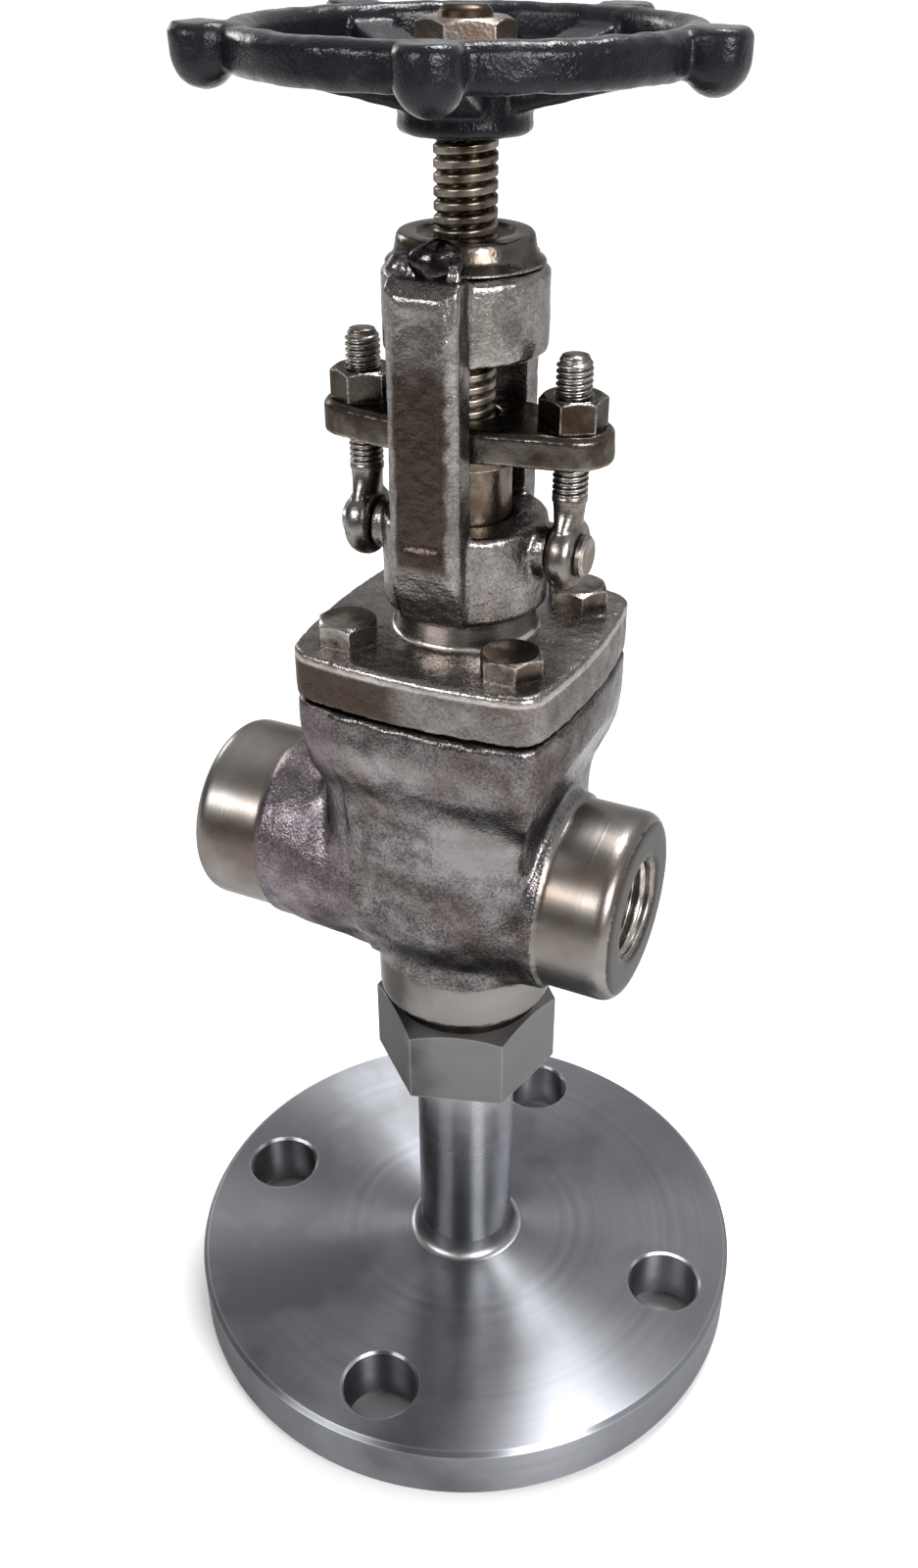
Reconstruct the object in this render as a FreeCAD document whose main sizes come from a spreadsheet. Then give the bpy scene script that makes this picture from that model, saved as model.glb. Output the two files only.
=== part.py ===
import FreeCAD, Part
import math
import os
import re
import Sketcher

# A small three-way stop valve of forged stainless steel: a flanged tail pipe below, two
# threaded side ports, and a bolted bonnet with an outside screw and yoke and a handwheel.
# Z is the stem axis and Z = 0 the flange's gasket face. X runs along the two side ports,
# with the short port at +X. The two yoke arms stand at -Y (front) and +Y (back).

doc = FreeCAD.newDocument("stop_valve")
sizes = doc.addObject("Spreadsheet::Sheet", "Sizes")

DIMENSIONS = {
    # bottom flange, NPS 1 1/2 class 150
    "flange_od": 125, "flange_thick": 15.9, "raised_face_od": 73, "raised_face_high": 2,
    "hole_margin": 13.3, "bolt_hole": 15.9, "flange_holes": 4, "flange_turn": 3,
    "flange_edge": 1.0, "hole_edge": 0.5,
    # tail pipe, DN 15 schedule 40, and the two welds at the flange
    "pipe_od": 21.3, "pipe_wall": 2.77, "pipe_setback": 3.0, "pipe_bevel": 1, "weld_leg": 2.6,
    "weld_inset": 0.3,
    # hexagon adapter
    "hex_rise": 71.2, "hex_height": 17.7, "hex_flats": 33.3, "hex_turn": -12,
    "pipe_engagement": 13.5, "socket_edge": 0.8, "socket_end_gap": 0.6, "spigot_od": 26.7,
    "spigot_length": 16, "spigot_root": 2, "spigot_gap": 3.0, "spigot_end_gap": 1,
    # forged body
    "neck_od": 36, "neck_length": 28.6, "neck_bevel": 1, "port_left": 53.2, "port_right": 36.8,
    "boss_od": 37.8, "boss_edge": 3.0, "boss_left_start": 37, "boss_right_start": 22,
    "barrel_od": 44, "barrel_step": 15.3, "barrel_left_od": 39.4, "barrel_left_big": 43,
    "barrel_right_start": 4, "barrel_right_od": 39.8,
    "port_bore": 19, "port_mouth": 21.4, "port_depth": 18, "port_point": 3.8, "mouth_edge": 1.2,
    "joint_rise": 43.5, "block_depth": 8, "block_edge": 0.6, "waist_rise": 15.5, "waist_half": 24.4,
    "waist_side": 110, "waist_corner": 7, "waist_shift": 0.8, "belly_half": 21.9,
    "belly_side": 90, "belly_corner": 7, "belly_shift": 2.4, "flank_start": 35.5,
    "flank_end": 20.5, "flank_reach": 19.6,
    "passage_bore": 11, "inlet_bore": 14, "chamber_bore": 26, "seat_deck_rise": 6.5,
    "left_passage_fall": 11.8, "right_passage_rise": 35.7, "right_passage_inset": 3.5,
    "right_passage_length": 15, "passage_lap": 1,
    # seat ring and disc
    "seat_od": 18, "seat_bore": 11.5, "seat_height": 6, "seat_cone": 1.6,
    "disc_od": 17, "disc_height": 8.5, "disc_nose": 2.2, "disc_edge": 0.6,
    "button_side_play": 0.15, "button_end_play": 0.1,
    "lift_now": 6.0, "lift_left": 2.0, "seat_rest": 0.08,
    # bonnet joint
    "joint_gap": 0.7, "tongue_od": 34.2, "tongue_high": 1.5, "tongue_root": 1, "gasket_bore": 27.2,
    "gasket_thick": 3.2, "bonnet_half": 25.6, "bonnet_side": 119, "bonnet_corner": 5.5,
    "bonnet_thick": 9.3, "bolt_span_x": 15.6, "bolt_span_y": 15.3, "bolt_od": 6,
    "bolt_flats": 10, "bolt_head": 4, "bolt_length": 22, "bolt_clearance": 0.6,
    "bolt_root": 1, "bolt_end_gap": 1,
    # bonnet neck, stuffing box and yoke
    "bonnet_neck_od": 25.4, "bonnet_neck_high": 5.2, "box_od": 29, "box_rise": 30.3,
    "box_bore": 16, "box_floor": 11.8, "box_foot_edge": 0.6, "box_edge": 0.8, "stem_gap": 0.5,
    "arm_width": 12.6, "arm_outer": 18,
    "arm_inner": 11.5, "arm_bevel_x": 2.6, "arm_bevel_y": 1.7, "arm_foot_out": 13.8,
    "arm_foot_start": 25.8, "arm_top_start": 69.3, "arm_top_out": 15,
    "panel_width": 7.4, "panel_deep": 0.5, "panel_low": 29,
    "panel_high": 67.2, "ring_od": 27, "ring_low": 57.8, "ring_top": 71.3,
    "ring_foot_edge": 0.6, "ring_edge": 1.2,
    "backseat_od": 18, "backseat_high": 9.8, "backseat_cone": 2.2,
    # yoke bush and its set screw
    "bush_od": 16, "collar_od": 21.8, "collar_top_od": 19.2, "collar_high": 4.6,
    "collar_plain": 2.0, "bush_stand": 1, "bush_edge": 0.8, "screw_od": 3, "screw_length": 4.2,
    "screw_sunk": 1, "screw_socket_od": 1.5, "screw_socket_deep": 1.5, "screw_turn": 80,
    # stem
    "stem_od": 10, "stem_running": 0.06, "stem_flange_od": 13.8,
    "stem_flange_high": 3.5, "stem_foot_gap": 0.4, "stem_foot_bevel": 0.8, "stem_cone_trim": 0.4,
    "stem_neck_od": 6.4, "stem_neck_high": 3.6,
    "stem_button_od": 9.2, "stem_button_high": 2.4, "retainer_od": 13,
    "retainer_high": 3.2, "stem_end_od": 8, "thread_bevel": 0.8, "stem_end_high": 16.8,
    # packing, gland and eyebolts
    "packing_high": 13.0, "packing_rings": 5, "packing_groove": 0.35, "washer_high": 1.5,
    "follower_collar": 19, "collar_thick": 2.0, "gland_rise": 42.1, "gland_thick": 5.6,
    "gland_end": 7, "gland_middle": 10.6, "gland_edge": 0.9, "gland_stem_gap": 0.8,
    "eye_span": 19.1, "eye_rise": 25.6,
    "eye_od": 12.8, "eye_thick": 5, "eye_root": 1.5, "eye_flare": 1, "eye_pin_od": 5,
    "pin_head_od": 7.2, "pin_head_high": 1.3, "pin_head_edge": 0.45, "pin_end_gap": 0.2,
    "pin_boss_od": 9.4, "pin_depth": 7, "eyebolt_od": 6,
    "eyebolt_top": 58.9, "gland_nut_flats": 10, "gland_nut_high": 5,
    # handwheel
    "wheel_rise": 13.8, "hub_od": 20.8, "hub_high": 8.2, "hub_edge": 0.8, "hub_taper": 1.2,
    "rim_od": 71.6, "rim_width": 4.8, "rim_low": 8.7, "rim_high": 6.3, "rim_edge": 1.2,
    "lobe_od": 9.6, "lobe_circle": 75.8, "lobe_low": 6.5, "lobe_high": 8.7, "lobe_edge": 0.8,
    "lobe_count": 5, "lobe_neck": 7.2, "spoke_width": 8, "spoke_thick": 4.2, "spoke_root": 3,
    "spoke_low": 2.8, "spoke_inset": 0.4,
    "wheel_washer_od": 16, "wheel_washer_high": 1.6, "wheel_nut_flats": 13,
    "wheel_nut_high": 5.5,
    # crowned corners of hexagons, the fit of joined pieces, and how far a cut starts outside
    "crown_share": 0.95, "crown_angle": 30, "fit": 0.05, "cut_over": 1,
}
for row, (alias, number) in enumerate(DIMENSIONS.items(), start=1):
    sizes.set(f"A{row}", alias)
    sizes.set(f"B{row}", str(number))
    sizes.setAlias(f"B{row}", alias)
doc.recompute()

# levels along the stem, worked out from the sizes above
HEX_TOP = "(hex_rise + hex_height)"
NECK_LOW = f"({HEX_TOP} + spigot_gap)"
RUN = f"({NECK_LOW} + neck_length)"
JOINT = f"({RUN} + joint_rise)"
BONNET = f"({JOINT} + joint_gap)"
SEAT_DECK = f"({RUN} + seat_deck_rise)"
DISC_LOW = f"({SEAT_DECK} - seat_cone + seat_rest + lift_now)"
BACKSEAT_LOW = f"({BONNET} - tongue_high)"
BUSH_TOP = f"({BONNET} + ring_top + collar_high)"
WHEEL = f"({BUSH_TOP} + wheel_rise)"
STEM_TOP = f"({WHEEL} + stem_end_high)"
GLAND = f"({BONNET} + gland_rise)"
GASKET_LOW = "(joint_rise + joint_gap - tongue_high - gasket_thick)"


def named(expression):
    """Write each size's alias with the spreadsheet's name before it."""
    return re.sub(
        r"[a-z][a-z0-9_]*",
        lambda word: "Sizes." + word.group() if word.group() in DIMENSIONS else word.group(),
        expression,
    )


def value(expression):
    return float(sizes.evalExpression(named(expression)))


def new_body(label, level="0"):
    body = doc.addObject("PartDesign::Body", label)
    body.Label = label
    body.setExpression("Placement.Base.z", named(level))
    return body


def turn(body, angle):
    body.Placement.Rotation = FreeCAD.Rotation(FreeCAD.Vector(0, 0, 1), 1)
    body.setExpression("Placement.Rotation.Angle", named(angle))


def origin_part(body, role):
    return next(item for item in body.Origin.OriginFeatures if item.Role == role)


def new_sketch(body, name, plane, lift="0"):
    sketch = body.newObject("Sketcher::SketchObject", name)
    sketch.AttachmentSupport = [(origin_part(body, plane), "")]
    sketch.MapMode = "FlatFace"
    sketch.setExpression("AttachmentOffset.Base.z", named(lift))
    return sketch


def place_point(sketch, geometry, point, x, y):
    """Fix one point of the sketch at two expressions; None leaves that direction free."""
    for kind, axis, expression in (("DistanceX", -2, x), ("DistanceY", -1, y)):
        if expression is None:
            continue
        if expression == "0":
            sketch.addConstraint(Sketcher.Constraint("PointOnObject", geometry, point, axis))
            continue
        index = sketch.addConstraint(
            Sketcher.Constraint(kind, -1, 1, geometry, point, value(expression))
        )
        sketch.setExpression(f"Constraints[{index}]", named(expression))


def polygon(sketch, points):
    """Add one closed outline of straight lines to the sketch."""
    first = sketch.GeometryCount
    corners = [FreeCAD.Vector(value(x), value(y), 0) for x, y in points]
    for start, end in zip(corners, corners[1:] + corners[:1]):
        sketch.addGeometry(Part.LineSegment(start, end), False)
    for index, (x, y) in enumerate(points):
        before = first + (index - 1) % len(points)
        sketch.addConstraint(Sketcher.Constraint("Coincident", before, 2, first + index, 1))
        place_point(sketch, first + index, 1, x, y)


def circle(sketch, x, y, radius):
    centre = FreeCAD.Vector(value(x), value(y), 0)
    ring = Part.Circle(centre, FreeCAD.Vector(0, 0, 1), value(radius))
    index = sketch.addGeometry(ring, False)
    place_point(sketch, index, 3, x, y)
    constraint = sketch.addConstraint(Sketcher.Constraint("Radius", index, value(radius)))
    sketch.setExpression(f"Constraints[{constraint}]", named(radius))


def pillow_outline(sketch, half, side, corner):
    """A square with bowed sides and round corners, made of eight tangent arcs."""
    half_side, side_radius, corner_radius = value(half), value(side), value(corner)
    offset = side_radius - half_side
    middle = (math.sqrt(2 * (side_radius - corner_radius) ** 2 - offset ** 2) - offset) / 2
    meeting = math.atan2(middle, middle + offset)
    for quarter in range(4):
        facing = quarter * math.pi / 2
        side_centre = FreeCAD.Vector(-offset * math.cos(facing), -offset * math.sin(facing), 0)
        corner_turn = facing + math.pi / 4
        corner_centre = FreeCAD.Vector(
            middle * math.sqrt(2) * math.cos(corner_turn),
            middle * math.sqrt(2) * math.sin(corner_turn), 0,
        )
        for centre, radius, start, end in (
            (side_centre, side_radius, facing - meeting, facing + meeting),
            (corner_centre, corner_radius, facing + meeting, facing + math.pi / 2 - meeting),
        ):
            full = Part.Circle(centre, FreeCAD.Vector(0, 0, 1), radius)
            sketch.addGeometry(Part.ArcOfCircle(full, start, end), False)
    for index in range(8):
        sketch.addConstraint(
            Sketcher.Constraint("Tangent", index, 2, (index + 1) % 8, 1)
        )
    for quarter in range(4):
        signs = ((-1, 0), (0, -1), (1, 0), (0, 1))[quarter]
        x = f"{signs[0]} * ({side} - {half})" if signs[0] else "0"
        y = f"{signs[1]} * ({side} - {half})" if signs[1] else "0"
        place_point(sketch, 2 * quarter, 3, x, y)
        for index, size in ((2 * quarter, side), (2 * quarter + 1, corner)):
            radius = Sketcher.Constraint("Radius", index, value(size))
            constraint = sketch.addConstraint(radius)
            sketch.setExpression(f"Constraints[{constraint}]", named(size))


def domed_outline(sketch, radius, height, edge):
    """Half the outline of a knob: a round bottom, a straight side and a bevelled top edge."""
    size, top, bevel = value(radius), value(height), value(edge)
    ball = Part.Circle(FreeCAD.Vector(0, size, 0), FreeCAD.Vector(0, 0, 1), size)
    sketch.addGeometry(Part.ArcOfCircle(ball, -math.pi / 2, 0), False)
    corners = [FreeCAD.Vector(size, size, 0), FreeCAD.Vector(size, top - bevel, 0),
               FreeCAD.Vector(size - bevel, top, 0), FreeCAD.Vector(0, top, 0), FreeCAD.Vector()]
    for start, end in zip(corners, corners[1:]):
        sketch.addGeometry(Part.LineSegment(start, end), False)
    for index in range(5):
        sketch.addConstraint(Sketcher.Constraint("Coincident", index, 2, (index + 1) % 5, 1))
    place_point(sketch, 0, 3, "0", radius)
    place_point(sketch, 0, 1, "0", "0")
    place_point(sketch, 1, 1, None, radius)
    place_point(sketch, 2, 1, radius, f"{height} - {edge}")
    place_point(sketch, 3, 1, f"{radius} - {edge}", height)
    place_point(sketch, 4, 1, "0", height)


def pad(body, name, sketch, length, both_ways=False):
    feature = body.newObject("PartDesign::Pad", name)
    feature.Profile = sketch
    feature.setExpression("Length", named(length))
    feature.Midplane = both_ways
    return feature


def pocket(body, name, sketch, depth, both_ways=False, forward=False):
    feature = body.newObject("PartDesign::Pocket", name)
    feature.Profile = sketch
    feature.setExpression("Length", named(depth))
    feature.Midplane = both_ways
    feature.Reversed = forward
    return feature


def turned(body, name, outlines, axis="V_Axis", cut=False):
    """Turn one or more outlines of (radius, height) points about an axis of the sketch."""
    sketch = new_sketch(body, name + "_profile", "XZ_Plane")
    for points in outlines:
        polygon(sketch, points)
    kind = "PartDesign::Groove" if cut else "PartDesign::Revolution"
    feature = body.newObject(kind, name)
    feature.Profile = sketch
    feature.ReferenceAxis = (sketch, [axis])
    feature.Angle = 360
    return feature


def around(body, name, feature, count):
    """Repeat a feature evenly round the body's own Z axis."""
    pattern = body.newObject("PartDesign::PolarPattern", name)
    pattern.Originals = [feature]
    pattern.Axis = (origin_part(body, "Z_Axis"), [""])
    pattern.Angle = 360
    pattern.setExpression("Occurrences", named(count))
    body.Tip = pattern
    return pattern


def edges_where(feature, test):
    """Name the feature's edges whose middle point passes the test."""
    doc.recompute()
    found = []
    for index, edge in enumerate(feature.Shape.Edges, start=1):
        low, high = edge.ParameterRange
        if test(edge, edge.valueAt((low + high) / 2)):
            found.append(f"Edge{index}")
    return found


def round_edges(body, name, radius, test):
    base = body.Tip
    feature = body.newObject("PartDesign::Fillet", name)
    feature.Base = (base, edges_where(base, test))
    feature.setExpression("Radius", named(radius))
    return feature


def bevel_edges(body, name, size, test):
    base = body.Tip
    feature = body.newObject("PartDesign::Chamfer", name)
    feature.Base = (base, edges_where(base, test))
    feature.setExpression("Size", named(size))
    return feature


def hexagon(flats):
    return [(f"{flats} / sqrt(3) * cos({30 + 60 * k})", f"{flats} / sqrt(3) * sin({30 + 60 * k})")
            for k in range(6)]


def trim_hexagon(body, name, flats, top):
    """Turn the upper corners of a hexagon down at 30 degrees."""
    crown = f"({flats} * crown_share / 2)"
    reach = f"({flats} / sqrt(3) + cut_over)"
    turned(body, name, [[
        (crown, top), (reach, top), (reach, f"{top} - ({reach} - {crown}) * tan(crown_angle)"),
    ]], cut=True)


def is_circle(edge, radius):
    return edge.Curve.TypeId == "Part::GeomCircle" and abs(edge.Curve.Radius - radius) < 0.01


def make_flange():
    body = new_body("bottom_flange")
    turn(body, "flange_turn")
    turned(body, "plate", [[
        ("pipe_od / 2 + fit", "0"), ("raised_face_od / 2", "0"),
        ("raised_face_od / 2", "raised_face_high"),
        ("flange_od / 2 - flange_edge", "raised_face_high"),
        ("flange_od / 2", "raised_face_high + flange_edge"),
        ("flange_od / 2", "flange_thick - flange_edge"),
        ("flange_od / 2 - flange_edge", "flange_thick"),
        ("pipe_od / 2 + fit", "flange_thick"),
    ]])
    drill = new_sketch(body, "bolt_hole_plan", "XY_Plane", "flange_thick")
    circle(drill, "flange_od / 2 - hole_margin", "0", "bolt_hole / 2")
    hole = pocket(body, "bolt_hole", drill, "flange_thick")
    around(body, "bolt_holes", hole, "flange_holes")
    bevel_edges(body, "hole_edges", "hole_edge",
                lambda edge, middle: is_circle(edge, value("bolt_hole / 2")))
    return body


def make_pipe():
    body = new_body("tail_pipe", "pipe_setback")
    length = "(hex_rise + pipe_engagement - pipe_setback)"
    turned(body, "tube", [[
        ("pipe_od / 2 - pipe_wall", "0"), ("pipe_od / 2", "0"),
        ("pipe_od / 2", f"{length} - pipe_bevel"), ("pipe_od / 2 - pipe_bevel", length),
        ("pipe_od / 2 - pipe_wall", length),
    ]])
    return body


def make_welds():
    upper = new_body("outer_weld", "flange_thick")
    turned(upper, "bead", [[
        ("pipe_od / 2 + fit", "0"), ("pipe_od / 2 + weld_leg", "0"), ("pipe_od / 2 + fit", "weld_leg"),
    ]])
    lower = new_body("face_weld")
    turned(lower, "bead", [[
        ("pipe_od / 2 + fit", "weld_inset"), ("pipe_od / 2 + fit", "pipe_setback"),
        ("pipe_od / 2 - pipe_wall", "pipe_setback"),
    ]])
    return upper, lower


def make_adapter():
    body = new_body("hex_adapter", "hex_rise")
    turn(body, "360 + hex_turn")
    plan = new_sketch(body, "hexagon_plan", "XY_Plane")
    polygon(plan, hexagon("hex_flats"))
    pad(body, "hexagon", plan, "hex_height")
    trim_hexagon(body, "upper_corners", "hex_flats", "hex_height")
    top = "(hex_height + spigot_length)"
    turned(body, "spigot", [[
        ("0", "hex_height - spigot_root"), ("spigot_od / 2", "hex_height - spigot_root"),
        ("spigot_od / 2", f"{top} - pipe_bevel"), ("spigot_od / 2 - pipe_bevel", top), ("0", top),
    ]])
    turned(body, "bore", [[
        ("0", "0"), ("pipe_od / 2 + fit + socket_edge", "0"), ("pipe_od / 2 + fit", "socket_edge"),
        ("pipe_od / 2 + fit", "pipe_engagement + socket_end_gap"),
        ("pipe_od / 2 - pipe_wall", "pipe_engagement + socket_end_gap"),
        ("pipe_od / 2 - pipe_wall", top), ("0", top),
    ]], cut=True)
    return body


def make_valve_body():
    body = new_body("valve_body", RUN)
    top = new_sketch(body, "block_plan", "XY_Plane", "joint_rise - block_depth")
    pillow_outline(top, "bonnet_half", "bonnet_side", "bonnet_corner")
    pad(body, "block", top, "block_depth")
    bevel_edges(body, "block_rim", "block_edge",
                lambda edge, middle: abs(middle.z - value("joint_rise")) < 0.01)
    sections = []
    for name, level, shift, half, side, corner in (
        ("shoulder", "joint_rise - block_depth", "0", "bonnet_half", "bonnet_side", "bonnet_corner"),
        ("waist", "waist_rise", "-waist_shift", "waist_half", "waist_side", "waist_corner"),
        ("belly", "0", "-belly_shift", "belly_half", "belly_side", "belly_corner"),
    ):
        section = new_sketch(body, name + "_plan", "XY_Plane", level)
        section.setExpression("AttachmentOffset.Base.x", named(shift))
        pillow_outline(section, half, side, corner)
        sections.append(section)
    shoulder = body.newObject("PartDesign::AdditiveLoft", "shoulder")
    shoulder.Profile = sections[0]
    shoulder.Sections = sections[1:]
    shoulder.Ruled = True
    flank = new_sketch(body, "flank_profile", "XZ_Plane")
    polygon(flank, [
        ("bonnet_half + cut_over", "flank_start"), ("bonnet_half", "flank_start"),
        ("flank_reach", "flank_end"), ("flank_reach", "0"), ("bonnet_half + cut_over", "0"),
    ])
    pocket(body, "flank", flank, "(bonnet_half + cut_over) * 2", both_ways=True)
    turned(body, "run", [[
        ("-port_left", "0"), ("-port_left", "boss_od / 2"), ("-boss_left_start", "boss_od / 2"),
        ("-boss_left_start", "barrel_left_od / 2"), ("-barrel_step", "barrel_left_big / 2"),
        ("-barrel_step", "barrel_od / 2"), ("barrel_right_start", "barrel_od / 2"),
        ("boss_right_start", "barrel_right_od / 2"),
        ("boss_right_start", "boss_od / 2"), ("port_right", "boss_od / 2"), ("port_right", "0"),
    ]], axis="H_Axis")
    neck = new_sketch(body, "neck_plan", "XY_Plane", "-neck_length")
    circle(neck, "0", "0", "neck_od / 2")
    pad(body, "neck", neck, "neck_length")
    round_edges(body, "boss_rims", "boss_edge", lambda edge, middle: (
        is_circle(edge, value("boss_od / 2"))
        and (abs(middle.x + value("port_left")) < 0.01 or abs(middle.x - value("port_right")) < 0.01)))
    turned(body, "stem_bores", [[
        ("0", "joint_rise"), ("tongue_od / 2 + fit", "joint_rise"), ("tongue_od / 2 + fit", GASKET_LOW),
        ("chamber_bore / 2", GASKET_LOW), ("chamber_bore / 2", "seat_deck_rise"),
        ("seat_od / 2 + fit", "seat_deck_rise"),
        ("seat_od / 2 + fit", "seat_deck_rise - seat_height"),
        ("inlet_bore / 2", "seat_deck_rise - seat_height"),
        ("inlet_bore / 2", "spigot_length - spigot_gap + spigot_end_gap - neck_length"),
        ("spigot_od / 2 + fit", "spigot_length - spigot_gap + spigot_end_gap - neck_length"),
        ("spigot_od / 2 + fit", "neck_bevel - neck_length"),
        ("spigot_od / 2 + fit + neck_bevel", "-neck_length"), ("0", "-neck_length"),
    ]], cut=True)
    turned(body, "ports", [[
        ("-port_left", "0"), ("-port_left", "port_mouth / 2"),
        ("mouth_edge - port_left", "port_bore / 2"), ("port_depth - port_left", "port_bore / 2"),
        ("port_depth + port_point - port_left", "0"),
    ], [
        ("port_right", "0"), ("port_right", "port_mouth / 2"),
        ("port_right - mouth_edge", "port_bore / 2"), ("port_right - port_depth", "port_bore / 2"),
        ("port_right - port_depth - port_point", "0"),
    ]], axis="H_Axis", cut=True)
    for name, start, angle, length in (
        ("left_passage", "port_depth - passage_lap - port_left", "left_passage_fall",
         "port_left - port_depth"),
        ("right_passage", "port_right - port_depth + right_passage_inset", "180 - right_passage_rise",
         "right_passage_length"),
    ):
        plan = new_sketch(body, name + "_profile", "XZ_Plane")
        plan.AttachmentOffset = FreeCAD.Placement(
            FreeCAD.Vector(), FreeCAD.Rotation(FreeCAD.Vector(0, 0, 1), 1))
        sign = "-" if name == "left_passage" else ""
        plan.setExpression("AttachmentOffset.Base.x", named(start))
        plan.setExpression("AttachmentOffset.Rotation.Angle", named(f"{sign}1 * ({angle})"))
        polygon(plan, [("0", "0"), (length, "0"), (length, "passage_bore / 2"), ("0", "passage_bore / 2")])
        feature = body.newObject("PartDesign::Groove", name)
        feature.Profile = plan
        feature.ReferenceAxis = (plan, ["H_Axis"])
        feature.Angle = 360
    taps = new_sketch(body, "bolt_hole_plan", "XY_Plane", "joint_rise")
    for x in ("bolt_span_x", "-bolt_span_x"):
        for y in ("bolt_span_y", "-bolt_span_y"):
            circle(taps, x, y, "bolt_od / 2 + fit")
    pocket(body, "bolt_holes", taps, "bolt_length - bonnet_thick - joint_gap + bolt_end_gap")
    return body


def ring_piece(label, level, inner, outer, height):
    body = new_body(label, level)
    turned(body, "ring", [[(inner, "0"), (outer, "0"), (outer, height), (inner, height)]])
    return body


def make_seat_and_disc():
    seat = new_body("seat_ring", f"{SEAT_DECK} - seat_height")
    turned(seat, "ring", [[
        ("seat_bore / 2", "0"), ("seat_od / 2", "0"), ("seat_od / 2", "seat_height"),
        ("seat_bore / 2 + seat_cone", "seat_height"), ("seat_bore / 2", "seat_height - seat_cone"),
    ]])
    disc = new_body("disc", DISC_LOW)
    socket = "(stem_button_od / 2 + button_side_play)"
    floor = "(disc_height - retainer_high - stem_button_high - 2 * button_end_play)"
    turned(disc, "plug", [[
        ("0", "0"), ("seat_bore / 2", "0"), ("seat_bore / 2 + disc_nose", "disc_nose"),
        ("disc_od / 2", "disc_nose"), ("disc_od / 2", "disc_height - disc_edge"),
        ("disc_od / 2 - disc_edge", "disc_height"), ("retainer_od / 2 + fit", "disc_height"),
        ("retainer_od / 2 + fit", "disc_height - retainer_high"),
        (socket, "disc_height - retainer_high"),
        (socket, floor), ("0", floor),
    ]])
    retainer = ring_piece("disc_retainer", f"{DISC_LOW} + disc_height - retainer_high",
                          "stem_neck_od / 2 + button_end_play", "retainer_od / 2", "retainer_high")
    return seat, disc, retainer


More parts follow.
